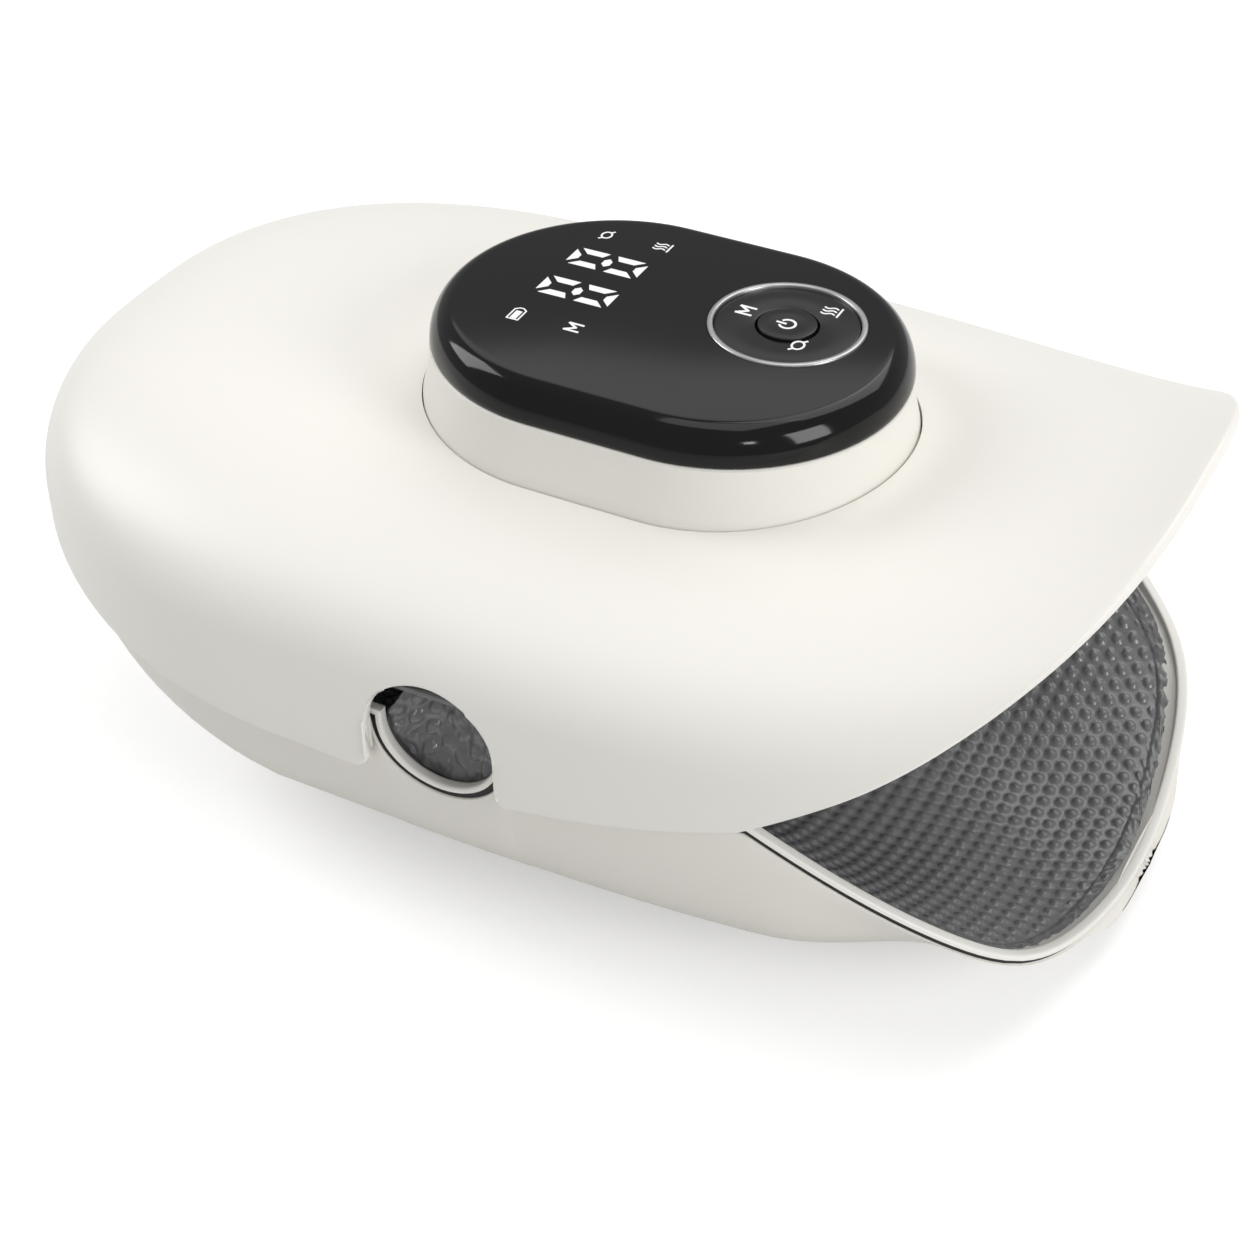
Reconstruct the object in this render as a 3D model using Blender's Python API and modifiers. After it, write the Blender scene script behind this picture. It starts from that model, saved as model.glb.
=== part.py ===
"""Hand massager: a clam-shaped housing that closes round a hand and kneads it with two airbags.

Metres, +Z up, +X towards the mouth, origin on the floor under the middle of the housing.
"""

import math

import bmesh
import bpy
from mathutils import Matrix, Vector

# Driving dimensions of the hull
HULL_LENGTH = 0.2540
NOSE_TO_WIDEST = 0.0880
HULL_HALF_WIDTH = 0.0850
MOUTH_NARROWING = 0.0246
EQUATOR_Z = 0.0680
CROWN_Z = 0.0919
VISOR_Z = 0.1095
VISOR_SETBACK = 0.0010
KEEL_Z = 0.0018
TONGUE_TIP_Z = 0.0105
TONGUE_TURN = 0.0260
PLAN_POWERS = (2.21, 2.48)
CROWN_POWERS = (4.10, 3.70)
KEEL_POWERS = (1.70, 1.60)
SIDE_POWERS = (3.87, 2.71)
TUCKED_POWERS = (2.0, 1.6)
TUCK_LENGTH = 0.0600
TONGUE_POWERS = (14.0, 1.9)
SECTION_POWERS = (2.30, 3.11)
SECTION_SOFTENING = 0.17
NARROWING_POWER = 4.00
VISOR_POWER = 5.35
KEEL_RISE_POWER = 3.0

# Seam between the two housings, and the mouth's edge
SEAM_NOSE_Z = 0.0617
SEAM_MIDDLE_Z = 0.0441
CORNER_Z = 0.0571
SEAM_MIDDLE_FROM_TIP = 0.1494
CORNER_FROM_TIP = 0.0602
MOUTH_SLANT_SHARE = 0.50

# Walls and clearances
UPPER_WALL = 0.0024
LOWER_WALL = 0.0020
SHELL_LAP = 0.0036
FIT = 0.0003
SLACK = 0.0005

# Lower rim, its trim and the two thumb holes
RIM_NOSE_Z = 0.0600
RIM_NOSE_RISE = 0.0068
RIM_RISE_LENGTH = 0.0300
TONGUE_SLOPE_SHARE = 0.545
TONGUE_DISH = 0.0132
TRIM_WIDTH = 0.0025
TRIM_HEIGHT = 0.0012
GASKET_HEIGHT = 0.0005
THUMB_FROM_WIDEST = 0.0407
THUMB_Z = 0.0563
THUMB_RADIUS = 0.0130
NOTCH_RADIUS = 0.0145
NOTCH_LEAD_IN = 0.0040
LINER_NOTCH_CLEARANCE = 0.0015

# Hand chamber
CHAMBER_BACK = 0.0580
LINER_WALL = 0.0014
LINER_SIDE_Z = 0.0624
UPPER_PAD_SIDE_Z = 0.0625
CEILING_Z = 0.0765
FUNNEL_LENGTH = 0.0850
AIRBAG_HEIGHT = 0.0066
PAD_THICKNESS = 0.0030
FILM_THICKNESS = 0.0005
TRAY_Z = 0.0110
CHAMBER_FLOOR_Z = 0.0260
PAD_TIP_Z = 0.0096
PAD_SLOPE_LENGTH = 0.0720
PAD_SLOPE_TO_TIP = 0.0140
PAD_EDGE_DROP = 0.0022
PAD_BORDER = 0.0012
PAD_THINNING = 0.0350
FILM_GAP = 0.0010
LOWER_AIRBAG_HEIGHT = 0.0056
AIRBAG_TAPER_SHARE = 0.7
AIRBAG_TAPER_POWER = 6.0
PAD_DISH_POWER = 3.0
TONGUE_DISH_POWER = 2.0
DISH_TURN = 0.0340
AIRBAG_TO_FUNNEL = 0.0040
AIRBAG_HALF_WIDTH = 0.0420
AIRBAG_BACK = 0.0740
AIRBAG_ROUND = 0.0160
FILM_MARGIN = 0.0030

# Console on the crown
CONSOLE_FROM_VISOR = 0.1135
CONSOLE_RISE = 0.0211
CONSOLE_HALF_STRAIGHT = 0.01284
PANEL_RADIUS = 0.0388
PANEL_WALL = 0.0020
PANEL_SAG = 0.0004
PANEL_EDGE_DROP = 0.0080
PANEL_EDGE_WIDTH = 0.0054
WALL_FLARE = 0.0019
WALL_ROOT_DEPTH = 0.0074
WALL_FLARE_RISE = 0.0006
WALL_THICKNESS = 0.0024
LEDGE_WIDTH = 0.0036
LEDGE_HEIGHT = 0.0018
BOARD_THICKNESS = 0.0016
BOARD_SEAT_DEPTH = 0.0026

# Keys
KEY_FROM_CONSOLE = 0.02305
KEY_Y = 0.00708
BEZEL_RADIUS = 0.0165
BEZEL_WIDTH = 0.0013
BEZEL_FLANGE = 0.0016
BEZEL_FLANGE_HEIGHT = 0.0010
BEZEL_PROUD = 0.0003
KEY_GAP = 0.0004
KEY_RING_TOP_DROP = 0.0003
KEY_RING_HEIGHT = 0.0026
RETAINER_HEIGHT = 0.0010
RETAINER_WIDTH = 0.0048
POWER_RADIUS = 0.0062
POWER_PROUD = 0.0004
POWER_FLANGE = 0.0012
POWER_FLANGE_HEIGHT = 0.0008
MEMBRANE_RADIUS = 0.0172
MEMBRANE_HEIGHT = 0.0008
PIN_RADIUS = 0.0012
PIN_CIRCLE = 0.0108
SWITCH_SIDE = 0.0060
SWITCH_HEIGHT = 0.0030
DISPLAY_FROM_CONSOLE = 0.0212
DISPLAY_Y = 0.0058
DISPLAY_LENGTH = 0.0190
DISPLAY_WIDTH = 0.0280
DISPLAY_HEIGHT = 0.0055
RIBBON_WIDTH = 0.0120
RIBBON_THICKNESS = 0.0010
RIBBON_Y = -0.0300

# Machinery in the nose, with its places from the nose along X
BULKHEAD_FRONT = 0.0575
BULKHEAD_WALL = 0.0020
PUMP_FROM_NOSE = 0.0350
PUMP_Z = 0.0710
PUMP_Y = -0.0360
MOTOR_RADIUS = 0.0120
MOTOR_LENGTH = 0.0250
HEAD_RADIUS = 0.0135
HEAD_LENGTH = 0.0246
HEAD_WALL = 0.0040
NIPPLE_LENGTH = 0.0050
HOSE_RADIUS = 0.0020
SHAFT_RADIUS = 0.00115
SHAFT_BORE_CLEARANCE = 0.0002
SHAFT_IN_MOTOR = 0.0060
SHAFT_IN_HEAD = 0.0140
CRANK_RADIUS = 0.0050
CRANK_THROW = 0.0015
CRANK_THICKNESS = 0.0050
CRANK_FROM_HEAD = 0.0060
CRADLE_DEPTH = 0.0180
CRADLE_HALF_HEIGHT = 0.0100
CRADLE_WIDTH = 0.0180
CELL_RADIUS = 0.0091
CELL_LENGTH = 0.0500
CELL_Z = 0.0475
CELL_Y = -0.0030
CELL_PITCH = 0.0190
CELL_TO_BULKHEAD = 0.0096
CELL_CAP_RADIUS = 0.0030
CELL_CAP_HEIGHT = 0.0012
TRAY_LENGTH = 0.0310
TRAY_WIDTH = 0.0400
TRAY_DEPTH = 0.0085
TRAY_LOW = 0.0105
MANIFOLD_SIZE = 0.0120
MANIFOLD_Y = 0.0300
MANIFOLD_Z = 0.0695
VALVE_Y = 0.0500
VALVE_HEIGHT = 0.0240
VALVE_BORE = 0.0032
VALVE_FLOOR = 0.0060
PLUNGER_RADIUS = 0.0029
PLUNGER_LENGTH = 0.0090
SPRING_WIRE = 0.0003
SPRING_LENGTH = 0.0072
SPRING_TURNS = 6
LOWER_HOSE_Z = 0.0208
LOWER_HOSE_X_BACK = 0.0060
HOSE_BEND = 0.0060
UPPER_HOSE_Z = 0.0712

# Charging port at the end of the nose
PORT_Z = 0.0710
PORT_HALF_STRAIGHT = 0.0029
PORT_RADIUS = 0.0016
PORT_LENGTH = 0.0075
PORT_WALL = 0.0003
PORT_CLEARANCE = 0.0003
PORT_TONGUE_HEIGHT = 0.0007
PORT_RECESS = 0.0014
CHARGE_BOARD_LENGTH = 0.0140
CHARGE_BOARD_WIDTH = 0.0160
CHARGE_BOARD_THICKNESS = 0.0012

# Feet and base screws
FOOT_FROM_NOSE = 0.0820
FOOT_FROM_TIP = 0.0420
FOOT_Y = 0.0320
FOOT_RADIUS = 0.0060
FOOT_HEIGHT = 0.0015
BOSS_RADIUS = 0.0070
BOSS_TOP_Z = 0.0095
RECESS_RADIUS = 0.0034
RECESS_TOP_Z = 0.0058
SCREW_HEAD_RADIUS = 0.0029
SCREW_HEAD_HEIGHT = 0.0016
SCREW_RADIUS = 0.0013
SCREW_LENGTH = 0.0037
SCREW_CLEARANCE = 0.0004

# Overrun of every cutter, weld distance and the finest step used for a slope
OVERRUN = 0.0050
WELD = 1e-6
NOSE_CROWDING = 1.3
SLOPE_STEP = 1e-5

# Counts
SHELL_AROUND = 24
SHELL_NOSE_STEPS = 9
SHELL_MOUTH_STEPS = 9
TUB_AROUND = 14
TUB_NOSE_STEPS = 8
TUB_TIP_STEPS = 9
TUB_SIDE_STEPS = 5
TUB_SIDE_SHARE = 0.65
THUMB_STEPS = 8
ARC_STEPS = 12
ROUND_SIDES = 20
FINE_SIDES = 32
SHEET_STEPS = 8

# Places that follow from the dimensions above
NOSE_X = -HULL_LENGTH / 2
WIDEST_X = NOSE_X + NOSE_TO_WIDEST
TIP_X = HULL_LENGTH / 2
VISOR_X = TIP_X - VISOR_SETBACK
CORNER_X = TIP_X - CORNER_FROM_TIP
SEAM_MIDDLE_X = TIP_X - SEAM_MIDDLE_FROM_TIP
THUMB_X = WIDEST_X + THUMB_FROM_WIDEST
CONSOLE_X = VISOR_X - CONSOLE_FROM_VISOR
KEY_X = CONSOLE_X + KEY_FROM_CONSOLE
DISPLAY_X = CONSOLE_X - DISPLAY_FROM_CONSOLE
PAD_SLOPE_END_X = TIP_X - PAD_SLOPE_TO_TIP
AIRBAG_BACK_X = NOSE_X + AIRBAG_BACK
AIRBAG_LENGTH = VISOR_X - FUNNEL_LENGTH - AIRBAG_TO_FUNNEL - AIRBAG_BACK_X
FOOT_X = (NOSE_X + FOOT_FROM_NOSE, TIP_X - FOOT_FROM_TIP)
BULKHEAD_X = NOSE_X + BULKHEAD_FRONT
CONSOLE_TOP_Z = CROWN_Z + CONSOLE_RISE
WALL_ROOT_Z = CROWN_Z - WALL_ROOT_DEPTH
WALL_FLARE_Z = CROWN_Z + WALL_FLARE_RISE
PANEL_BASE_Z = CONSOLE_TOP_Z - PANEL_SAG - PANEL_EDGE_DROP
BOARD_Z = PANEL_BASE_Z - BOARD_SEAT_DEPTH


# Scene, collections and materials
for item in list(bpy.data.objects):
    bpy.data.objects.remove(item, do_unlink=True)


def make_collection(name, hidden=False):
    collection = bpy.data.collections.new(name)
    bpy.context.scene.collection.children.link(collection)
    collection.hide_render = hidden
    return collection


PARTS = make_collection("hand_massager")
CUTTERS = make_collection("cutters", hidden=True)


def make_material(name, colour, roughness, metallic=0.0):
    material = bpy.data.materials.new(name)
    material.use_nodes = True
    shader = material.node_tree.nodes["Principled BSDF"]
    shader.inputs["Base Color"].default_value = (*colour, 1.0)
    shader.inputs["Roughness"].default_value = roughness
    shader.inputs["Metallic"].default_value = metallic
    return material


IVORY = make_material("ivory_plastic", (0.83, 0.81, 0.76), 0.45)
IVORY_LOWER = make_material("ivory_lower_plastic", (0.80, 0.77, 0.71), 0.5)
BLACK = make_material("black_plastic", (0.03, 0.03, 0.03), 0.5)
GLOSS_BLACK = make_material("gloss_black_plastic", (0.01, 0.01, 0.01), 0.08)
SILVER = make_material("silver_plated_plastic", (0.6, 0.6, 0.6), 0.25, 0.9)
RUBBER = make_material("soft_rubber", (0.05, 0.05, 0.05), 0.8)
PAD = make_material("grey_pad_skin", (0.12, 0.12, 0.12), 0.35)
AIRBAG = make_material("airbag_film", (0.3, 0.3, 0.32), 0.5)
COPPER_FILM = make_material("heating_film", (0.6, 0.35, 0.12), 0.4)
BOARD = make_material("circuit_board", (0.03, 0.18, 0.07), 0.4)
METAL = make_material("steel", (0.6, 0.6, 0.62), 0.3, 1.0)
CELL = make_material("cell_wrap", (0.1, 0.3, 0.55), 0.35)
HOSE = make_material("silicone_hose", (0.75, 0.75, 0.75), 0.4)


# Making and joining solids
def add_object(name, mesh, material, collection=PARTS, location=(0, 0, 0)):
    item = bpy.data.objects.new(name, mesh)
    item.location = location
    collection.objects.link(item)
    mesh.materials.append(material)
    mesh.shade_smooth()
    mesh.set_sharp_from_angle(angle=math.radians(35))
    if collection is CUTTERS:
        item.hide_render = True
        item.display_type = "WIRE"
    return item


def mesh_of(name, points, faces):
    mesh = bpy.data.meshes.new(name)
    shape = bmesh.new()
    corners = [shape.verts.new(point) for point in points]
    for face in faces:
        shape.faces.new([corners[index] for index in face])
    bmesh.ops.remove_doubles(shape, verts=shape.verts, dist=WELD)
    bmesh.ops.dissolve_degenerate(shape, edges=shape.edges, dist=WELD)
    shape.to_mesh(mesh)
    shape.free()
    return mesh


def loft(name, rows, wall, material):
    """A skin through rows of points, thickened to the wall on the side away from its normals."""
    count = len(rows[0])
    points = [point for row in rows for point in row]
    faces = []
    for i in range(len(rows) - 1):
        for j in range(count - 1):
            first = i * count + j
            faces.append((first, first + count, first + count + 1, first + 1))
    item = add_object(name, mesh_of(name, points, faces), material)
    skin = item.modifiers.new("wall", "SOLIDIFY")
    skin.thickness = wall
    skin.offset = -1.0
    skin.use_even_offset = True
    skin.use_quality_normals = True
    return item


def cushion(name, tops, unders, material, open_ends=(True, True)):
    """A closed skin between an upper and an under grid of points, also across the ends that are open."""
    count = len(tops[0])
    size = len(tops) * count
    points = [point for grid in (tops, unders) for row in grid for point in row]
    faces = []
    for i in range(len(tops) - 1):
        for j in range(count - 1):
            first = i * count + j
            face = (first, first + count, first + count + 1, first + 1)
            faces.append(face)
            faces.append(tuple(index + size for index in reversed(face)))
        for first in (i * count, i * count + count - 1):
            faces.append((first, first + count, first + count + size, first + size))
    for is_open, start in zip(open_ends, (0, size - count)):
        if is_open:
            for first in range(start, start + count - 1):
                faces.append((first, first + 1, first + 1 + size, first + size))
    mesh = mesh_of(name, points, faces)
    outward(mesh)
    return add_object(name, mesh, material)


def outward(mesh):
    shape = bmesh.new()
    shape.from_mesh(mesh)
    bmesh.ops.recalc_face_normals(shape, faces=shape.faces)
    shape.to_mesh(mesh)
    shape.free()


def stack(name, loops, material, ring=False, collection=PARTS, location=(0, 0, 0)):
    """A closed body through loops of points: a ring joins the last loop to the first, others are capped."""
    count = len(loops[0])
    points = [point for loop in loops for point in loop]
    faces = []
    spans = len(loops) if ring else len(loops) - 1
    for i in range(spans):
        start = i * count
        following = ((i + 1) % len(loops)) * count
        for j in range(count):
            k = (j + 1) % count
            faces.append((start + j, start + k, following + k, following + j))
    if not ring:
        faces.append(tuple(range(count - 1, -1, -1)))
        faces.append(tuple((len(loops) - 1) * count + j for j in range(count)))
    mesh = mesh_of(name, points, faces)
    outward(mesh)
    return add_object(name, mesh, material, collection, location)


def rounded(item, width, segments=2):
    edge = item.modifiers.new("rounded_edges", "BEVEL")
    edge.width = width
    edge.segments = segments
    edge.limit_method = "ANGLE"
    edge.angle_limit = math.radians(40)
    return item


def block(name, size, centre, material, collection=PARTS):
    mesh = bpy.data.meshes.new(name)
    shape = bmesh.new()
    bmesh.ops.create_cube(shape, size=1.0)
    bmesh.ops.scale(shape, vec=size, verts=shape.verts)
    shape.to_mesh(mesh)
    shape.free()
    return add_object(name, mesh, material, collection, centre)


def rod(name, radius, length, centre, material, axis="Z", sides=ROUND_SIDES, collection=PARTS):
    mesh = bpy.data.meshes.new(name)
    shape = bmesh.new()
    bmesh.ops.create_cone(shape, cap_ends=True, segments=sides, radius1=radius, radius2=radius, depth=length)
    if axis != "Z":
        turn = Matrix.Rotation(math.radians(90), 3, "Y" if axis == "X" else "X")
        bmesh.ops.rotate(shape, matrix=turn, verts=shape.verts)
    shape.to_mesh(mesh)
    shape.free()
    return add_object(name, mesh, material, collection, centre)


def turned(name, profile, material, location, axis="Z", sides=FINE_SIDES):
    """A closed profile of (radius, height) turned round its axis, which stands at the location."""
    loops = []
    for radius, height in profile:
        loop = []
        for step in range(sides):
            angle = math.tau * step / sides
            across, along = radius * math.cos(angle), radius * math.sin(angle)
            loop.append((across, along, height) if axis == "Z" else (across, height, -along))
        loops.append(loop)
    return stack(name, loops, material, ring=True, location=location)


def cut(item, cutter):
    change = item.modifiers.new("cut_" + cutter.name, "BOOLEAN")
    change.operation = "DIFFERENCE"
    change.object = cutter
    return item


def join(item, addition):
    change = item.modifiers.new("join_" + addition.name, "BOOLEAN")
    change.operation = "UNION"
    change.object = addition
    return item


def stadium(radius, height, steps=ARC_STEPS):
    """A loop with two round ends, about the console's own centre."""
    loop = []
    for side in (1, -1):
        for step in range(steps + 1):
            angle = math.pi * step / steps - math.pi / 2
            x = side * (CONSOLE_HALF_STRAIGHT + radius * math.cos(angle))
            loop.append((x, side * radius * math.sin(angle), height))
    return loop


# The hull as formulas: an inset moves the surface inwards in plan, a lift raises its keel
def squircle(share, powers):
    share = min(max(share, 0.0), 1.0)
    return (1.0 - share ** powers[0]) ** (1.0 / powers[1])


def smooth(share):
    share = min(max(share, 0.0), 1.0)
    return share * share * (3 - 2 * share)


def mix(first, second, share):
    return first + (second - first) * share


def mouthward(x):
    return min(max((x - WIDEST_X) / (VISOR_X - WIDEST_X), 0.0), 1.2)


def half_width(x, inset=0.0):
    if x < WIDEST_X:
        share = (WIDEST_X - x) / (NOSE_TO_WIDEST - inset)
        return (HULL_HALF_WIDTH - inset) * squircle(share, PLAN_POWERS)
    return HULL_HALF_WIDTH - inset - MOUTH_NARROWING * mouthward(x) ** NARROWING_POWER


def crown(x, inset=0.0):
    if x < WIDEST_X:
        share = (WIDEST_X - x) / (NOSE_TO_WIDEST - inset)
        return EQUATOR_Z + (CROWN_Z - inset - EQUATOR_Z) * squircle(share, CROWN_POWERS)
    return CROWN_Z - inset + (VISOR_Z - CROWN_Z) * mouthward(x) ** VISOR_POWER


def keel(x, inset=0.0, lift=0.0):
    if x < WIDEST_X:
        share = (WIDEST_X - x) / (NOSE_TO_WIDEST - inset)
        return EQUATOR_Z - (EQUATOR_Z - KEEL_Z - lift) * squircle(share, KEEL_POWERS)
    turn = (x - (TIP_X + SHELL_LAP - inset - TONGUE_TURN)) / TONGUE_TURN
    rise = TONGUE_TIP_Z - KEEL_Z - lift
    return KEEL_Z + lift + rise * max(turn, 0.0) ** KEEL_RISE_POWER


def seam(x):
    """Height of the upper shell's lower edge, a parabola through three heights, never under the keel."""
    a, b, c = NOSE_X + (SEAM_MIDDLE_X - NOSE_X) * 0.14, SEAM_MIDDLE_X, CORNER_X
    height = SEAM_NOSE_Z * (x - b) * (x - c) / ((a - b) * (a - c))
    height += SEAM_MIDDLE_Z * (x - a) * (x - c) / ((b - a) * (b - c))
    height += CORNER_Z * (x - a) * (x - b) / ((c - a) * (c - b))
    return max(height, keel(x))


def seam_closing():
    """Where the seam's two sides meet under the nose."""
    low, high = NOSE_X, SEAM_MIDDLE_X
    for _ in range(50):
        x = (low + high) / 2
        if seam(x) <= keel(x):
            low = x
        else:
            high = x
    return low


def nose_shares(steps):
    """Shares of the nose's length, close together at its end."""
    angles = [math.pi / 2 * (step / steps) ** NOSE_CROWDING for step in range(steps)]
    return [math.cos(angle) ** (2 / PLAN_POWERS[0]) for angle in angles]


def mouth_x(z):
    """The mouth's edge seen from the side: steep under the visor, flatter towards the corner."""
    fall = (VISOR_Z - z) / (VISOR_Z - CORNER_Z)
    return VISOR_X - (VISOR_X - CORNER_X) * (fall * MOUTH_SLANT_SHARE + fall * fall * (1 - MOUTH_SLANT_SHARE))


def section_powers(x):
    """Powers of the upper hull's section in height and in width, a little softer towards the mouth."""
    softening = SECTION_SOFTENING * mouthward(x)
    return SECTION_POWERS[0] - softening, SECTION_POWERS[1] - softening


def upper_section(x, turn, inset=0.0):
    """Half width and height of the upper hull at a turn from -1, the near seam, over 0, the crown, to 1."""
    flank_share = 0.22
    away = abs(turn)
    width = half_width(x, inset)
    if away <= 1 - flank_share:
        angle = (1 - away / (1 - flank_share)) * math.pi / 2
        high, wide = section_powers(x)
        y = width * math.cos(angle) ** (2 / wide) if away > 0 else 0.0
        z = EQUATOR_Z + (crown(x, inset) - EQUATOR_Z) * math.sin(angle) ** (2 / high)
    else:
        down = (away - (1 - flank_share)) / flank_share
        z = mix(EQUATOR_Z, seam(x), down)
        depth = (EQUATOR_Z - z) / max(EQUATOR_Z - keel(x, inset), WELD)
        y = width * squircle(depth, SIDE_POWERS)
    return math.copysign(y, turn), z


def mouth_reach(turn, inset, setback):
    """Where a lengthwise line of the upper hull meets the mouth's edge."""
    low, high = WIDEST_X, VISOR_X + OVERRUN
    for _ in range(50):
        x = (low + high) / 2
        if x < mouth_x(upper_section(x, turn, inset)[1]) - setback:
            low = x
        else:
            high = x
    return x


def rim_level(x):
    """Height of the lower housing's edge without its thumb holes: up at the nose, down at the tongue."""
    level = mix(RIM_NOSE_Z, CORNER_Z - SLACK, min(max((x - NOSE_X) / (CORNER_X - NOSE_X), 0.0), 1.0))
    level += RIM_NOSE_RISE * smooth(1 - (x - NOSE_X) / RIM_RISE_LENGTH)
    if x > CORNER_X:
        across = tub_width(x) / tub_width(CORNER_X)
        level -= TONGUE_SLOPE_SHARE * (x - CORNER_X) + TONGUE_DISH * (1 - across * across)
        level = max(level, TONGUE_TIP_Z)
    return level


def rim(x, below=0.0):
    """Height of a line below the lower housing's edge, which also runs round the thumb holes."""
    level = rim_level(x) - below
    beside = abs(x - THUMB_X)
    if beside < THUMB_RADIUS + below:
        return min(level, THUMB_Z - math.sqrt((THUMB_RADIUS + below) ** 2 - beside ** 2))
    return level


def tub_width(x, inset=SHELL_LAP):
    """Half width of the lower housing at its rim: the hull's own, closed by the tongue's round end."""
    if x < CORNER_X:
        return half_width(x, inset)
    share = (x - CORNER_X) / (TIP_X - CORNER_X - (inset - SHELL_LAP))
    return half_width(x, inset) * squircle(share, TONGUE_POWERS)


def side_powers(x):
    """Powers of the lower hull's sides: full along the housing, tucked in under the tongue."""
    share = smooth((x - CORNER_X) / TUCK_LENGTH)
    return [mix(full, tucked, share) for full, tucked in zip(SIDE_POWERS, TUCKED_POWERS)]


def tub_side(x, width, edge, inset, lift, steps):
    """Points of the lower hull from its edge down its side to the keel."""
    down, out = side_powers(x)
    shallowest = edge - FIT - max(LOWER_WALL - lift, 0.0)
    depth = EQUATOR_Z - min(keel(x, inset, lift), shallowest)
    start = math.asin(min((EQUATOR_Z - edge) / depth, 1.0) ** (down / 2))
    side = []
    for step in range(steps):
        angle = mix(start, math.pi / 2, step / steps)
        spread = (math.cos(angle) / max(math.cos(start), WELD)) ** (2 / out)
        side.append((width * spread, EQUATOR_Z - depth * math.sin(angle) ** (2 / down)))
    return side + [(0.0, EQUATOR_Z - depth)]


def nose_end():
    """Where the rising keel meets the edge of the lower housing, at its nose."""
    low, high = NOSE_X + SHELL_LAP, WIDEST_X
    for _ in range(50):
        x = (low + high) / 2
        if keel(x, SHELL_LAP) > rim(x):
            low = x
        else:
            high = x
    return x


def tub_stations(below=0.0, back=None, front=None):
    """Places along X: close together at the nose, through the thumb holes and round the tip."""
    reach = WIDEST_X - nose_end()
    places = [WIDEST_X - reach * share for share in nose_shares(TUB_NOSE_STEPS)]
    for step in range(THUMB_STEPS + 1):
        places.append(THUMB_X - (THUMB_RADIUS + below) * math.cos(math.pi * step / THUMB_STEPS))
    places.append((places[-1] + CORNER_X) / 2)
    for step in range(TUB_SIDE_STEPS):
        places.append(mix(CORNER_X, TIP_X, TUB_SIDE_SHARE * step / (TUB_SIDE_STEPS - 1)))
    for step in range(1, TUB_TIP_STEPS + 1):
        angle = math.pi / 2 * step / TUB_TIP_STEPS
        places.append(CORNER_X + (TIP_X - CORNER_X) * math.sin(angle) ** (2 / TONGUE_POWERS[0]))
    if back is not None:
        places = [back] + [x for x in places if x > back + OVERRUN]
    if front is not None:
        places = [x for x in places if x < front - OVERRUN] + [front]
    return places


def rim_width(x):
    """Half width of the lower housing where its edge is, a little under its widest level."""
    level = min(x, CORNER_X)
    depth = EQUATOR_Z - keel(level, SHELL_LAP)
    return tub_width(x) * squircle((EQUATOR_Z - rim(level)) / max(depth, WELD), SIDE_POWERS)


def rim_line(inset, below=0.0, back=None, front=None):
    """Half of the line round the lower rim, moved inwards in plan, as (x, half width, height)."""
    inwards = inset - SHELL_LAP
    places = tub_stations(below, back, front)
    line = []
    for x in places:
        slope = (tub_width(x + SLOPE_STEP) - tub_width(x - SLOPE_STEP)) / (2 * SLOPE_STEP)
        length = math.hypot(slope, 1.0)
        line.append((x + inwards * slope / length, rim_width(x) - inwards / length, rim(x, below)))
    if back is None:
        line[0] = (places[0] + inwards, 0.0, rim(places[0], below))
    else:
        line[0] = (places[0], line[0][1], line[0][2])
    if front is None:
        line[-1] = (places[-1] - inwards, 0.0, rim(places[-1], below))
    else:
        line[-1] = (places[-1], line[-1][1], line[-1][2])
    return line


def tub_grid(inset, lift, below, back=None, front=None):
    """Rows of the lower hull, each from its far edge down across the keel and up to its near edge."""
    grid = []
    for x, width, edge in rim_line(inset, below, back, front):
        side = tub_side(x, width, edge, inset, lift, TUB_AROUND // 2)
        row = [(x, y, z) for y, z in side]
        grid.append(row + [(x, -y, z) for y, z in reversed(side[:-1])])
    return grid


# Housings
def upper_rows(inset, setback, back=None):
    turns = [2 * step / SHELL_AROUND - 1 for step in range(SHELL_AROUND + 1)]
    starts = []
    if back is None:
        starts = nose_shares(SHELL_NOSE_STEPS)
        closing = (WIDEST_X - seam_closing()) / NOSE_TO_WIDEST
        nearest = min(range(1, len(starts)), key=lambda index: abs(starts[index] - closing))
        if (1 - closing) * NOSE_TO_WIDEST > SLACK:
            starts[nearest] = closing
    ends = [mouth_reach(turn, inset, setback) for turn in turns]
    rows = []
    for share in starts:
        x = WIDEST_X - (NOSE_TO_WIDEST - inset) * share
        rows.append([(x, *upper_section(x, turn, inset)) for turn in turns])
    first = WIDEST_X if back is None else back
    for step in range(SHELL_MOUTH_STEPS + 1):
        row = []
        for turn, end in zip(turns, ends):
            x = mix(first, end, step / SHELL_MOUTH_STEPS)
            row.append((x, *upper_section(x, turn, inset)))
        rows.append(row)
    return rows


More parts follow.
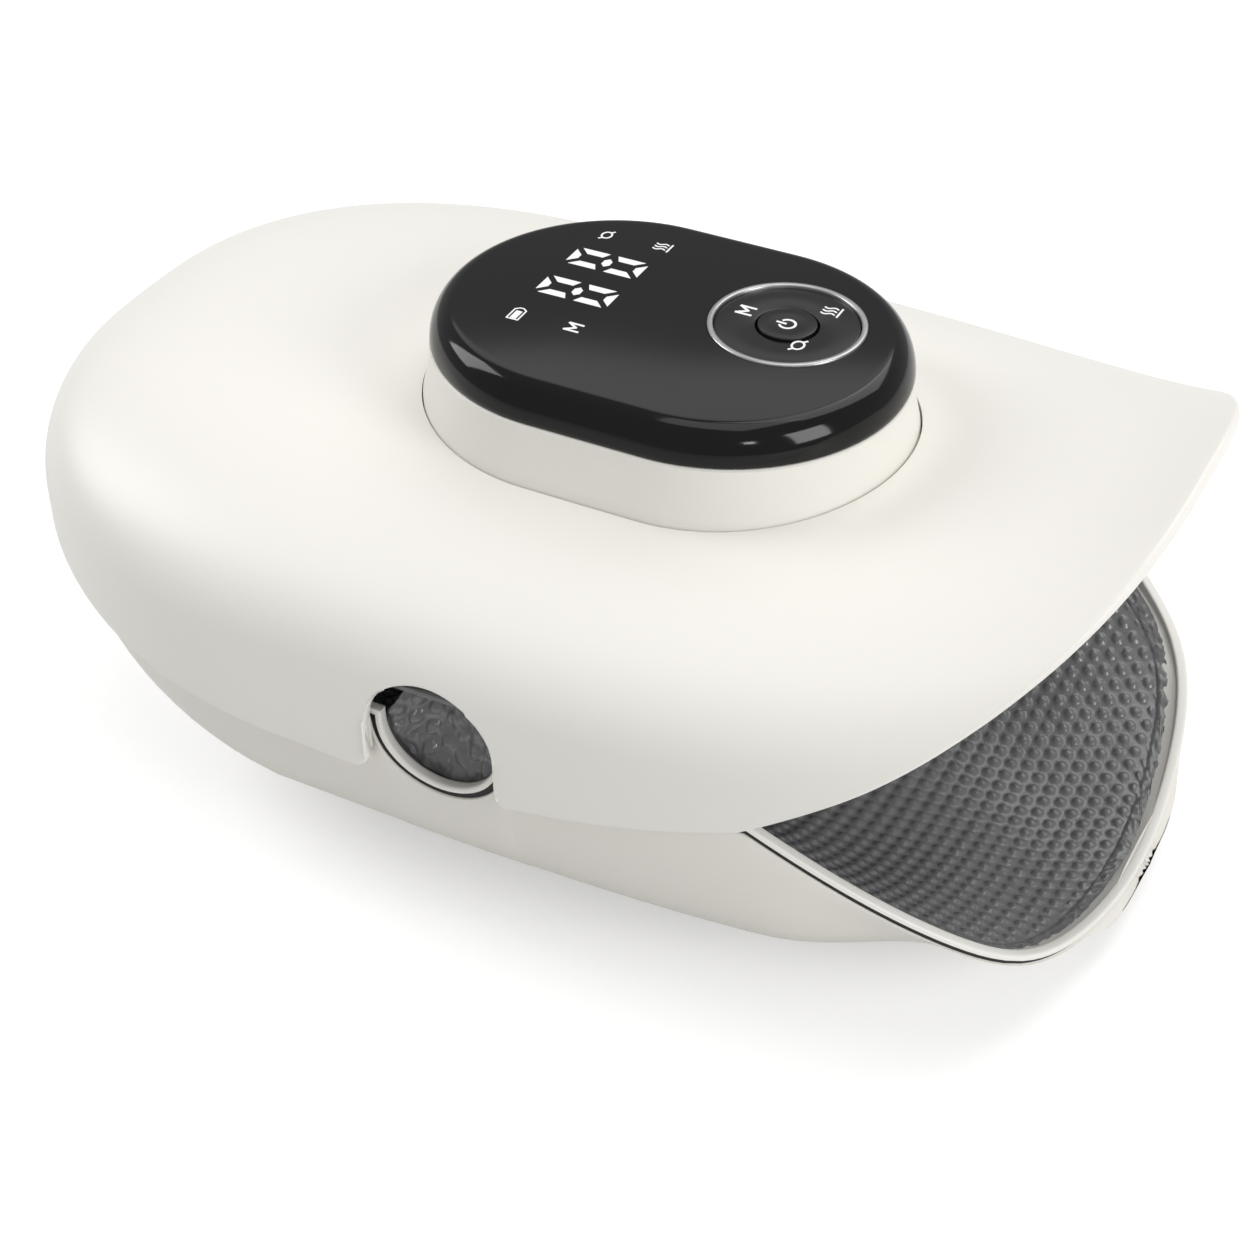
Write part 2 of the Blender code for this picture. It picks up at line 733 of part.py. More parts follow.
def thumb_notch_cutter():
    """An arch with straight sides and rounded lead-ins, long enough for both sides."""
    outline = []
    low = SEAM_MIDDLE_Z - OVERRUN
    corner = seam(THUMB_X)
    for step in range(ARC_STEPS + 1):
        angle = math.pi * step / ARC_STEPS
        outline.append((THUMB_X + NOTCH_RADIUS * math.cos(angle), THUMB_Z + NOTCH_RADIUS * math.sin(angle)))
    quarter = ARC_STEPS // 3
    left = []
    for step in range(quarter + 1):
        angle = math.pi / 2 * step / quarter
        out = NOTCH_LEAD_IN * (1 - math.cos(angle))
        left.append((out, corner + NOTCH_LEAD_IN * (1 - math.sin(angle))))
    outline += [(THUMB_X - NOTCH_RADIUS - out, z) for out, z in left]
    outline += [(THUMB_X - NOTCH_RADIUS - NOTCH_LEAD_IN, low), (THUMB_X + NOTCH_RADIUS + NOTCH_LEAD_IN, low)]
    outline += [(THUMB_X + NOTCH_RADIUS + out, z) for out, z in reversed(left)]
    reach = HULL_HALF_WIDTH + OVERRUN
    loops = [[(x, y, z) for x, z in outline] for y in (-reach, reach)]
    return stack("thumb_notch_cutter", loops, BLACK, collection=CUTTERS)


def console_opening_cutter():
    radius = PANEL_RADIUS + WALL_FLARE + FIT
    loops = [stadium(radius, EQUATOR_Z), stadium(radius, CONSOLE_TOP_Z)]
    return stack("console_opening_cutter", loops, BLACK, collection=CUTTERS, location=(CONSOLE_X, 0, 0))


def port_loop(radius, x):
    loop = []
    for side in (1, -1):
        for step in range(7):
            angle = math.pi * step / 6 - math.pi / 2
            y = side * (PORT_HALF_STRAIGHT + radius * math.cos(angle))
            loop.append((x, y, PORT_Z + side * radius * math.sin(angle)))
    return loop


def make_upper_shell():
    shell = loft("upper_shell", upper_rows(0.0, 0.0), UPPER_WALL, IVORY)
    cut(shell, console_opening_cutter())
    cut(shell, thumb_notch_cutter())
    radius = PORT_RADIUS + PORT_CLEARANCE
    loops = [port_loop(radius, NOSE_X - OVERRUN), port_loop(radius, NOSE_X + OVERRUN)]
    cut(shell, stack("port_cutter", loops, BLACK, collection=CUTTERS))


def foot_places():
    return [(x, side * FOOT_Y) for x in FOOT_X for side in (-1, 1)]


def make_lower_shell():
    below = TRIM_HEIGHT + GASKET_HEIGHT + 2 * SLACK
    outside = tub_grid(SHELL_LAP, 0.0, below)
    inside = tub_grid(SHELL_LAP + LOWER_WALL, LOWER_WALL, below)
    shell = cushion("lower_shell", inside, outside, IVORY_LOWER, (False, False))
    for number, (x, y) in enumerate(foot_places(), 1):
        boss = rod(f"boss_{number}", BOSS_RADIUS, BOSS_TOP_Z - KEEL_Z, (x, y, (BOSS_TOP_Z + KEEL_Z) / 2), BLACK,
                   collection=CUTTERS)
        join(shell, boss)
    for number, (x, y) in enumerate(foot_places(), 1):
        low = KEEL_Z - OVERRUN
        recess = rod(f"recess_{number}", RECESS_RADIUS, RECESS_TOP_Z - low, (x, y, (RECESS_TOP_Z + low) / 2), BLACK,
                     collection=CUTTERS)
        cut(shell, recess)
        high = BOSS_TOP_Z + OVERRUN
        hole = rod(f"screw_hole_{number}", SCREW_RADIUS + SCREW_CLEARANCE, high - KEEL_Z,
                   (x, y, (high + KEEL_Z) / 2), BLACK, collection=CUTTERS)
        cut(shell, hole)


def rim_loop(inset, below):
    """The closed line round the lower rim, at an inset from the hull and a depth under its edge."""
    line = rim_line(inset, below)
    return [(x, -y, z) for x, y, z in line] + list(reversed(line[1:-1]))


def make_rim_trim():
    outside, inside = SHELL_LAP, SHELL_LAP + TRIM_WIDTH
    loops = [rim_loop(outside, TRIM_HEIGHT), rim_loop(outside, FIT), rim_loop(outside + FIT, 0.0)]
    loops += [rim_loop(inside - FIT, 0.0), rim_loop(inside, FIT), rim_loop(inside, TRIM_HEIGHT)]
    stack("rim_trim", loops, IVORY, ring=True)


def make_rim_gasket():
    outside, inside = SHELL_LAP + FIT, SHELL_LAP + LOWER_WALL
    high = TRIM_HEIGHT + SLACK
    low = high + GASKET_HEIGHT
    loops = [rim_loop(outside, low), rim_loop(outside, high), rim_loop(inside, high), rim_loop(inside, low)]
    stack("rim_gasket", loops, RUBBER, ring=True)


# Hand chamber
def lining_section(x, turn, inset, side_z, ceiling):
    """The upper hull's section, pressed flat over the chamber and spreading to the full mouth."""
    y, z = upper_section(x, turn, inset)
    open_share = smooth((x - (VISOR_X - FUNNEL_LENGTH)) / FUNNEL_LENGTH)
    low, high = seam(x), crown(x, inset)
    foot = mix(side_z, low + SHELL_LAP, open_share)
    top = mix(ceiling, high, open_share)
    return y, foot + (z - low) * (top - foot) / (high - low)


def lining_rows(inset, setback, side_z, ceiling, back):
    turns = [2 * step / SHELL_AROUND - 1 for step in range(SHELL_AROUND + 1)]
    rows = []
    for step in range(SHELL_MOUTH_STEPS + 1):
        row = []
        for turn in turns:
            low, high = back, VISOR_X + OVERRUN
            for _ in range(40):
                x = (low + high) / 2
                if x < mouth_x(lining_section(x, turn, inset, side_z, ceiling)[1]) - setback:
                    low = x
                else:
                    high = x
            x = mix(back, x, step / SHELL_MOUTH_STEPS)
            row.append((x, *lining_section(x, turn, inset, side_z, ceiling)))
        rows.append(row)
    return rows


LINER_INSET = UPPER_WALL + SLACK + FIT
PAD_INSET = LINER_INSET + LINER_WALL + 2 * SLACK
PAD_CEILING_Z = CEILING_Z - LINER_WALL - AIRBAG_HEIGHT - FILM_THICKNESS - 3 * FIT
CHAMBER_X = NOSE_X + CHAMBER_BACK
TUB_LINER_INSET = SHELL_LAP + LOWER_WALL + 2 * SLACK
LOWER_PAD_OUTER = TUB_LINER_INSET + LINER_WALL + SLACK


def make_upper_liner():
    rows = lining_rows(LINER_INSET, FIT, LINER_SIDE_Z, CEILING_Z, CHAMBER_X)
    liner = loft("upper_liner", rows, LINER_WALL, BLACK)
    reach = HULL_HALF_WIDTH - NOTCH_RADIUS
    for side in (-1, 1):
        centre = (THUMB_X, side * (HULL_HALF_WIDTH + reach) / 2, THUMB_Z)
        cut(liner, rod(f"liner_notch_{side + 2}", NOTCH_RADIUS + LINER_NOTCH_CLEARANCE,
                       HULL_HALF_WIDTH - reach, centre, BLACK, "Y", collection=CUTTERS))


def make_upper_pad():
    back = CHAMBER_X + SLACK
    tops = lining_rows(PAD_INSET, LINER_WALL, UPPER_PAD_SIDE_Z, PAD_CEILING_Z, back)
    inner_ceiling = PAD_CEILING_Z - PAD_THICKNESS
    unders = lining_rows(PAD_INSET + PAD_THICKNESS, LINER_WALL, UPPER_PAD_SIDE_Z, inner_ceiling, back)
    cushion("upper_pad", tops, unders, PAD)


def pad_floor(x):
    slope = smooth((x - PAD_SLOPE_END_X) / PAD_SLOPE_LENGTH + 1)
    return mix(CHAMBER_FLOOR_Z, PAD_TIP_Z, slope)


def pad_dish(x, share, edge, thickness=0.0):
    """Height of the lower pad at a share of the way out to its edge, or of its underside."""
    thinning = smooth((x - PAD_SLOPE_END_X) / PAD_THINNING + 1)
    thin = mix(thickness, min(thickness, PAD_BORDER), thinning)
    floor = pad_floor(x) - thin
    power = mix(PAD_DISH_POWER, TONGUE_DISH_POWER, smooth((x - CORNER_X) / DISH_TURN))
    return mix(floor, max(edge - min(thickness, PAD_BORDER), floor), min(share, 1.0) ** power)


def pad_height(x, y, thickness=0.0):
    """The same height over a place in the chamber."""
    inset = LOWER_PAD_OUTER + (0.0 if thickness else PAD_THICKNESS)
    return pad_dish(x, abs(y) / tub_width(x, inset), rim_level(x) - PAD_EDGE_DROP, thickness)


def pad_grid(inset, thickness):
    grid = []
    for x, width, edge in rim_line(inset, PAD_EDGE_DROP, CHAMBER_X + SLACK):
        level = rim_level(x) - PAD_EDGE_DROP if x < CORNER_X else edge
        highest = edge - min(thickness, PAD_BORDER)
        row = []
        for step in range(TUB_AROUND + 1):
            share = -math.cos(math.pi * step / TUB_AROUND)
            row.append((x, width * share, min(pad_dish(x, abs(share), level, thickness), highest)))
        grid.append(row)
    return grid


def make_lower_pad():
    tops = pad_grid(LOWER_PAD_OUTER + PAD_THICKNESS, 0.0)
    unders = pad_grid(LOWER_PAD_OUTER, PAD_THICKNESS)
    cushion("lower_pad", tops, unders, PAD, (True, False))


def make_lower_liner():
    below = PAD_EDGE_DROP + PAD_BORDER + SLACK
    lift = TRAY_Z - KEEL_Z
    outside = tub_grid(TUB_LINER_INSET, lift, below, CHAMBER_X, CORNER_X)
    inside = tub_grid(TUB_LINER_INSET + LINER_WALL, lift + LINER_WALL, below, CHAMBER_X, CORNER_X)
    liner = cushion("lower_liner", inside, outside, BLACK)
    start = CHAMBER_X - OVERRUN
    cut(liner, rod("lower_hose_slot", HOSE_RADIUS + SLACK, AIRBAG_BACK_X - start,
                   ((start + AIRBAG_BACK_X) / 2, MANIFOLD_Y, LOWER_HOSE_Z), BLACK, "X", collection=CUTTERS))


def sheet(name, width, length, thickness, height, material, taper=0.0):
    """A thin cushion or film with rounded corners, its upper surface at a height over the plan."""
    tops, unders = [], []
    back = AIRBAG_BACK_X
    for i in range(SHEET_STEPS + 1):
        along = 2 * i / SHEET_STEPS - 1
        x = back + length * (along + 1) / 2
        into = min(x - back, back + length - x)
        round_off = AIRBAG_ROUND - math.sqrt(max(AIRBAG_ROUND ** 2 - max(AIRBAG_ROUND - into, 0.0) ** 2, 0.0))
        top, under = [], []
        for j in range(SHEET_STEPS + 1):
            across = 2 * j / SHEET_STEPS - 1
            y = (width - round_off) * across
            thinner = taper * max(abs(along), abs(across)) ** AIRBAG_TAPER_POWER
            top.append((x, y, height(x, y)))
            under.append((x, y, height(x, y) - thickness * (1 - thinner)))
        tops.append(top)
        unders.append(under)
    cushion(name, tops, unders, material)


def lining_height(x, y, inset, side_z, ceiling):
    """Height of a lining over a point of the plan."""
    high, wide = section_powers(x)
    rise = (1 - (abs(y) / half_width(x, inset)) ** wide) ** (1 / high)
    z = EQUATOR_Z + (crown(x, inset) - EQUATOR_Z) * rise
    open_share = smooth((x - (VISOR_X - FUNNEL_LENGTH)) / FUNNEL_LENGTH)
    low, summit = seam(x), crown(x, inset)
    foot = mix(side_z, low + SHELL_LAP, open_share)
    top = mix(ceiling, summit, open_share)
    return foot + (z - low) * (top - foot) / (summit - low)


def make_airbags():
    half, length = AIRBAG_HALF_WIDTH, AIRBAG_LENGTH
    under_liner = CEILING_Z - LINER_WALL - 2 * FIT
    sheet("upper_airbag", half, length, AIRBAG_HEIGHT - FIT,
          lambda x, y: lining_height(x, y, PAD_INSET, LINER_SIDE_Z, under_liner), AIRBAG, AIRBAG_TAPER_SHARE)
    over_pad = PAD_CEILING_Z + FIT + FILM_THICKNESS
    sheet("upper_heating_film", half - FILM_MARGIN, length, FILM_THICKNESS,
          lambda x, y: lining_height(x, y, PAD_INSET, UPPER_PAD_SIDE_Z, over_pad), COPPER_FILM)
    sheet("lower_heating_film", half - FILM_MARGIN, length, FILM_THICKNESS,
          lambda x, y: pad_height(x, y, PAD_THICKNESS) - FILM_GAP, COPPER_FILM)
    under_film = FILM_GAP + FILM_THICKNESS + SLACK
    sheet("lower_airbag", half, length, LOWER_AIRBAG_HEIGHT,
          lambda x, y: pad_height(x, y, PAD_THICKNESS) - under_film, AIRBAG, AIRBAG_TAPER_SHARE)


# Console
def make_console():
    here = (CONSOLE_X, 0, 0)
    outer = PANEL_RADIUS
    root = PANEL_RADIUS + WALL_FLARE
    top = PANEL_BASE_Z - FIT
    board_rim = outer - WALL_THICKNESS
    ledge = board_rim - LEDGE_WIDTH / 2
    ledge_top = BOARD_Z - BOARD_THICKNESS - FIT
    wall = [(outer, top), (mix(outer, root, 0.35), mix(top, WALL_FLARE_Z, 0.7)), (root, WALL_FLARE_Z),
            (root, WALL_ROOT_Z), (root - WALL_THICKNESS, WALL_ROOT_Z), (root - WALL_THICKNESS, WALL_FLARE_Z),
            (ledge, ledge_top - LEDGE_HEIGHT), (ledge, ledge_top), (board_rim, ledge_top), (board_rim, top)]
    stack("console_wall", [stadium(r, z) for r, z in wall], IVORY, ring=True, location=here)

    loops = []
    inner = PANEL_RADIUS - PANEL_WALL
    flat = PANEL_RADIUS - PANEL_EDGE_WIDTH
    under = CONSOLE_TOP_Z - PANEL_WALL
    loops += [stadium(flat / 2, under), stadium(flat - PANEL_WALL, under - PANEL_SAG)]
    loops += [stadium(inner - PANEL_WALL / 2, under - PANEL_WALL), stadium(inner, PANEL_BASE_Z)]
    steps = 6
    for step in range(steps + 1):
        angle = math.pi / 2 * (1 - step / steps)
        radius = flat + PANEL_EDGE_WIDTH * math.sin(angle)
        height = CONSOLE_TOP_Z - PANEL_SAG - PANEL_EDGE_DROP * (1 - math.cos(angle))
        loops.append(stadium(radius, height))
    loops += [stadium(flat / 2, CONSOLE_TOP_Z - PANEL_SAG / 4), stadium(flat / 8, CONSOLE_TOP_Z)]
    panel = stack("touch_panel", loops, GLOSS_BLACK, location=here)
    hole = rod("key_opening_cutter", BEZEL_RADIUS + FIT, PANEL_WALL + 2 * OVERRUN, (KEY_X, KEY_Y, CONSOLE_TOP_Z),
               BLACK, sides=FINE_SIDES, collection=CUTTERS)
    cut(panel, hole)

    board = [stadium(board_rim - FIT, BOARD_Z - BOARD_THICKNESS), stadium(board_rim - FIT, BOARD_Z)]
    stack("display_board", board, BOARD, location=here)
    low = WALL_ROOT_Z - FIT - BOARD_THICKNESS
    control = [stadium(root - FIT, low), stadium(root - FIT, low + BOARD_THICKNESS)]
    stack("control_board", control, BOARD, location=here)
    height = ledge_top - (low + BOARD_THICKNESS) - FIT
    block("board_ribbon", (RIBBON_WIDTH, RIBBON_THICKNESS, height),
          (CONSOLE_X, RIBBON_Y, low + BOARD_THICKNESS + FIT + height / 2), BLACK)
    display = block("led_display", (DISPLAY_LENGTH, DISPLAY_WIDTH, DISPLAY_HEIGHT),
                    (DISPLAY_X, DISPLAY_Y, BOARD_Z + FIT + DISPLAY_HEIGHT / 2), BLACK)
    rounded(display, FIT)


def make_keys():
    here = (KEY_X, KEY_Y, 0)
    under_panel = CONSOLE_TOP_Z - PANEL_SAG - PANEL_WALL - FIT
    inner = BEZEL_RADIUS - BEZEL_WIDTH
    flange = BEZEL_RADIUS + BEZEL_FLANGE
    top = CONSOLE_TOP_Z + BEZEL_PROUD
    turned("bezel_ring", [(BEZEL_RADIUS, top), (inner, top), (inner, under_panel - BEZEL_FLANGE_HEIGHT),
                          (flange, under_panel - BEZEL_FLANGE_HEIGHT), (flange, under_panel),
                          (BEZEL_RADIUS, under_panel)], SILVER, here)

    ring_top = CONSOLE_TOP_Z - KEY_RING_TOP_DROP
    ring_low = ring_top - KEY_RING_HEIGHT
    ring_outer = inner - KEY_GAP
    ring_inner = POWER_RADIUS + KEY_GAP
    place = (KEY_X, KEY_Y, ring_low)
    rounding = KEY_GAP
    turned("key_ring", [(ring_outer, KEY_RING_HEIGHT - rounding), (ring_outer - rounding, KEY_RING_HEIGHT),
                        (ring_inner + rounding, KEY_RING_HEIGHT), (ring_inner, KEY_RING_HEIGHT - rounding),
                        (ring_inner, 0), (ring_outer, 0)], GLOSS_BLACK, place)

    hold_top = ring_low - FIT
    hold_inner = ring_outer - RETAINER_WIDTH
    turned("key_retainer", [(ring_outer, hold_top), (hold_inner, hold_top), (hold_inner, hold_top - RETAINER_HEIGHT),
                            (ring_outer, hold_top - RETAINER_HEIGHT)], BLACK, here)
    flange_top = hold_top
    flange_low = flange_top - POWER_FLANGE_HEIGHT
    button_top = CONSOLE_TOP_Z + POWER_PROUD
    rim_radius = POWER_RADIUS + POWER_FLANGE
    button = [[(r * math.cos(math.tau * s / FINE_SIDES), r * math.sin(math.tau * s / FINE_SIDES), z)
               for s in range(FINE_SIDES)]
              for r, z in [(rim_radius, flange_low), (rim_radius, flange_top), (POWER_RADIUS, flange_top),
                           (POWER_RADIUS, button_top - rounding), (POWER_RADIUS - rounding, button_top)]]
    stack("power_button", button, GLOSS_BLACK, location=here)

    sheet_top = hold_top - RETAINER_HEIGHT - FIT
    sheet_low = sheet_top - MEMBRANE_HEIGHT
    membrane = rod("key_membrane", MEMBRANE_RADIUS, MEMBRANE_HEIGHT, (KEY_X, KEY_Y, sheet_top - MEMBRANE_HEIGHT / 2),
                   RUBBER, sides=FINE_SIDES)
    switch_top = BOARD_Z + FIT + SWITCH_HEIGHT
    places = [("power", 0.0, 0.0)]
    for name, degrees in (("mode", 180), ("heat", 60), ("air", -60)):
        angle = math.radians(degrees)
        places.append((name, PIN_CIRCLE * math.cos(angle), PIN_CIRCLE * math.sin(angle)))
    for name, x, y in places:
        high = sheet_low + MEMBRANE_HEIGHT / 2
        low = switch_top + FIT
        pin = rod(name + "_pin", PIN_RADIUS, high - low, (KEY_X + x, KEY_Y + y, (high + low) / 2), RUBBER,
                  sides=FINE_SIDES // 4, collection=CUTTERS)
        join(membrane, pin)
        switch = block(name + "_switch", (SWITCH_SIDE, SWITCH_SIDE, SWITCH_HEIGHT),
                       (KEY_X + x, KEY_Y + y, BOARD_Z + FIT + SWITCH_HEIGHT / 2), METAL)
        rounded(switch, FIT, 1)


# Machinery in the nose
def make_bulkhead():
    """A wall across the hull that follows the lower housing's inside and then the upper shell's."""
    x = BULKHEAD_X
    behind = x - BULKHEAD_WALL
    inset = TUB_LINER_INSET + LINER_WALL
    slope = (keel(behind + SLOPE_STEP, inset) - keel(behind - SLOPE_STEP, inset)) / (2 * SLOPE_STEP)
    lift = LOWER_WALL * math.hypot(1.0, slope) + SLACK
    split = rim(behind) + SLACK
    width = half_width(behind, inset)
    side = list(reversed(tub_side(behind, width, split, inset, lift, TUB_AROUND // 2)))
    arch = []
    for step in range(SHELL_AROUND // 2 + 1):
        y, z = upper_section(behind, 1 - 2 * step / SHELL_AROUND, LINER_INSET)
        if z > split:
            arch.append((y, z))
    outline = side + arch[:-1] + [(0.0, arch[-1][1])]
    outline += [(-y, z) for y, z in reversed(side[1:] + arch[:-1])]
    loops = [[(place, y, z) for y, z in outline] for place in (x - BULKHEAD_WALL, x)]
    wall = stack("bulkhead", loops, BLACK)
    for name, z in (("upper_hose_hole", UPPER_HOSE_Z), ("lower_hose_hole", LOWER_HOSE_Z)):
        cut(wall, rod(name, HOSE_RADIUS + SLACK, BULKHEAD_WALL + 2 * OVERRUN, (x, MANIFOLD_Y, z), BLACK, "X",
                      collection=CUTTERS))


def make_pump():
    x = NOSE_X + PUMP_FROM_NOSE
    motor = rod("pump_motor", MOTOR_RADIUS, MOTOR_LENGTH, (x, PUMP_Y + MOTOR_LENGTH / 2, PUMP_Z), METAL, "Y")
    bore = SHAFT_RADIUS + SHAFT_BORE_CLEARANCE
    face = PUMP_Y + MOTOR_LENGTH
    depth = SHAFT_IN_MOTOR + FIT
    cut(motor, rod("motor_bore_cutter", bore, depth + OVERRUN, (x, face - depth / 2 + OVERRUN / 2, PUMP_Z), BLACK, "Y",
                   sides=12, collection=CUTTERS))

    start = face + FIT
    inner = HEAD_RADIUS - HEAD_WALL
    bottom = HEAD_LENGTH - HEAD_WALL
    head = [(inner, 0), (HEAD_RADIUS, 0), (HEAD_RADIUS, HEAD_LENGTH), (HOSE_RADIUS, HEAD_LENGTH),
            (HOSE_RADIUS, HEAD_LENGTH + NIPPLE_LENGTH)]
    loops = []
    for radius, along in [(inner, bottom)] + head:
        loops.append([(radius * math.cos(math.tau * s / ROUND_SIDES), along,
                       -radius * math.sin(math.tau * s / ROUND_SIDES)) for s in range(ROUND_SIDES)])
    stack("pump_head", loops, BLACK, location=(x, start, PUMP_Z))

    back = face - SHAFT_IN_MOTOR
    length = SHAFT_IN_MOTOR + SHAFT_IN_HEAD
    shaft = rod("pump_shaft", SHAFT_RADIUS, length, (x, back + length / 2, PUMP_Z), METAL, "Y", sides=12)
    crank = rod("crank", CRANK_RADIUS, CRANK_THICKNESS,
                (x + CRANK_THROW, start + CRANK_FROM_HEAD + CRANK_THICKNESS / 2, PUMP_Z), METAL, "Y", sides=20,
                collection=CUTTERS)
    join(shaft, crank)

    edge = BULKHEAD_X - BULKHEAD_WALL - FIT
    cradle = block("pump_cradle", (CRADLE_DEPTH, CRADLE_WIDTH, 2 * CRADLE_HALF_HEIGHT),
                   (edge - CRADLE_DEPTH / 2, PUMP_Y + MOTOR_LENGTH / 2, PUMP_Z), RUBBER)
    cut(cradle, rod("cradle_cutter", MOTOR_RADIUS + FIT, CRADLE_WIDTH + OVERRUN,
                    (x, PUMP_Y + MOTOR_LENGTH / 2, PUMP_Z), BLACK, "Y", sides=FINE_SIDES, collection=CUTTERS))


def make_battery():
    edge = BULKHEAD_X - BULKHEAD_WALL - FIT
    first = edge - CELL_TO_BULKHEAD
    tray = block("battery_tray", (TRAY_LENGTH, TRAY_WIDTH, TRAY_DEPTH),
                 (edge - TRAY_LENGTH / 2, CELL_Y, CELL_Z - TRAY_LOW + TRAY_DEPTH / 2), BLACK)
    for number in (1, 2):
        x = first - CELL_PITCH * (number - 1)
        centre = (x, CELL_Y, CELL_Z)
        cut(tray, rod(f"cell_cutter_{number}", CELL_RADIUS + FIT, TRAY_WIDTH + OVERRUN, centre, BLACK, "Y",
                      sides=ROUND_SIDES, collection=CUTTERS))
        cell = rod(f"battery_cell_{number}", CELL_RADIUS, CELL_LENGTH, centre, CELL, "Y")
        cap = rod(f"cell_cap_{number}", CELL_CAP_RADIUS, 2 * CELL_CAP_HEIGHT, (x, CELL_Y + CELL_LENGTH / 2, CELL_Z),
                  METAL, "Y", sides=12, collection=CUTTERS)
        join(cell, cap)


def tube(name, route, radius, material, resolution=2):
    """A hose along a smooth line through its points, read off at even steps."""
    curve = bpy.data.curves.new(name, "CURVE")
    curve.dimensions = "3D"
    curve.bevel_depth = radius
    curve.bevel_resolution = resolution
    curve.use_fill_caps = True
    spline = curve.splines.new("POLY")
    spline.points.add(len(route) - 1)
    for point, place in zip(spline.points, route):
        point.co = (*place, 1.0)
    guide = bpy.data.objects.new(name + "_line", curve)
    CUTTERS.objects.link(guide)
    mesh = bpy.data.meshes.new_from_object(guide)
    bpy.data.objects.remove(guide, do_unlink=True)
    shape = bmesh.new()
    shape.from_mesh(mesh)
    bmesh.ops.remove_doubles(shape, verts=shape.verts, dist=WELD)
    shape.to_mesh(mesh)
    shape.free()
    return add_object(name, mesh, material)


def bend(corner, before, after, radius, steps=5):
    """Points of a round bend at a corner between two straight runs."""
    corner, before, after = Vector(corner), Vector(before), Vector(after)
    start = corner + (before - corner).normalized() * radius
    end = corner + (after - corner).normalized() * radius
    points = []
    for step in range(steps + 1):
        share = step / steps
        points.append(start * (1 - share) ** 2 + corner * 2 * share * (1 - share) + end * share ** 2)
    return points


def make_air_line():
    edge = BULKHEAD_X - BULKHEAD_WALL - FIT
    middle = edge - MANIFOLD_SIZE / 2
    rounded(block("air_manifold", (MANIFOLD_SIZE, MANIFOLD_SIZE, MANIFOLD_SIZE), (middle, MANIFOLD_Y, MANIFOLD_Z),
                  BLACK), SLACK)
    pump_x = NOSE_X + PUMP_FROM_NOSE
    outlet = (pump_x, PUMP_Y + MOTOR_LENGTH + FIT + HEAD_LENGTH + NIPPLE_LENGTH + FIT, PUMP_Z)
    turn = (pump_x, MANIFOLD_Y, PUMP_Z)
    inlet = (edge - MANIFOLD_SIZE - FIT, MANIFOLD_Y, PUMP_Z)
    tube("pump_hose", [outlet] + bend(turn, outlet, inlet, HOSE_BEND) + [inlet], HOSE_RADIUS, HOSE)

    bag_back = AIRBAG_BACK_X - FIT
    tube("upper_bag_hose", [(edge + FIT, MANIFOLD_Y, UPPER_HOSE_Z), (bag_back, MANIFOLD_Y, UPPER_HOSE_Z)],
         HOSE_RADIUS, HOSE)
    drop_x = edge - LOWER_HOSE_X_BACK
    top = (drop_x, MANIFOLD_Y, MANIFOLD_Z - MANIFOLD_SIZE / 2 - FIT)
    corner = (drop_x, MANIFOLD_Y, LOWER_HOSE_Z)
    end = (bag_back, MANIFOLD_Y, LOWER_HOSE_Z)
    tube("lower_bag_hose", [top] + bend(corner, top, end, HOSE_BEND) + [end], HOSE_RADIUS, HOSE)

    half = MANIFOLD_SIZE / 2
    near = MANIFOLD_Y + half + FIT
    far = VALVE_Y - half - FIT
    tube("valve_hose", [(middle, near, MANIFOLD_Z), (middle, far, MANIFOLD_Z)], HOSE_RADIUS, HOSE)

    top_z = MANIFOLD_Z + VALVE_HEIGHT / 2
    low_z = MANIFOLD_Z - VALVE_HEIGHT / 2
    body = block("valve_body", (MANIFOLD_SIZE, MANIFOLD_SIZE, VALVE_HEIGHT), (middle, VALVE_Y, MANIFOLD_Z), METAL)
    floor = low_z + VALVE_FLOOR
    cut(body, rod("valve_bore_cutter", VALVE_BORE, top_z - floor + OVERRUN,
                  (middle, VALVE_Y, (top_z + OVERRUN + floor) / 2), BLACK, sides=ROUND_SIDES, collection=CUTTERS))
    spring_low = floor + FIT
    plunger_low = spring_low + SPRING_LENGTH + FIT
    rod("valve_plunger", PLUNGER_RADIUS, PLUNGER_LENGTH, (middle, VALVE_Y, plunger_low + PLUNGER_LENGTH / 2), METAL)
    coil = PLUNGER_RADIUS - SPRING_WIRE
    route = []
    points_per_turn = 8
    for step in range(SPRING_TURNS * points_per_turn + 1):
        share = step / (SPRING_TURNS * points_per_turn)
        angle = math.tau * SPRING_TURNS * share
        height = spring_low + SPRING_WIRE + (SPRING_LENGTH - 2 * SPRING_WIRE) * share
        route.append((middle + coil * math.cos(angle), VALVE_Y + coil * math.sin(angle), height))
    tube("valve_spring", route, SPRING_WIRE, METAL, 0)


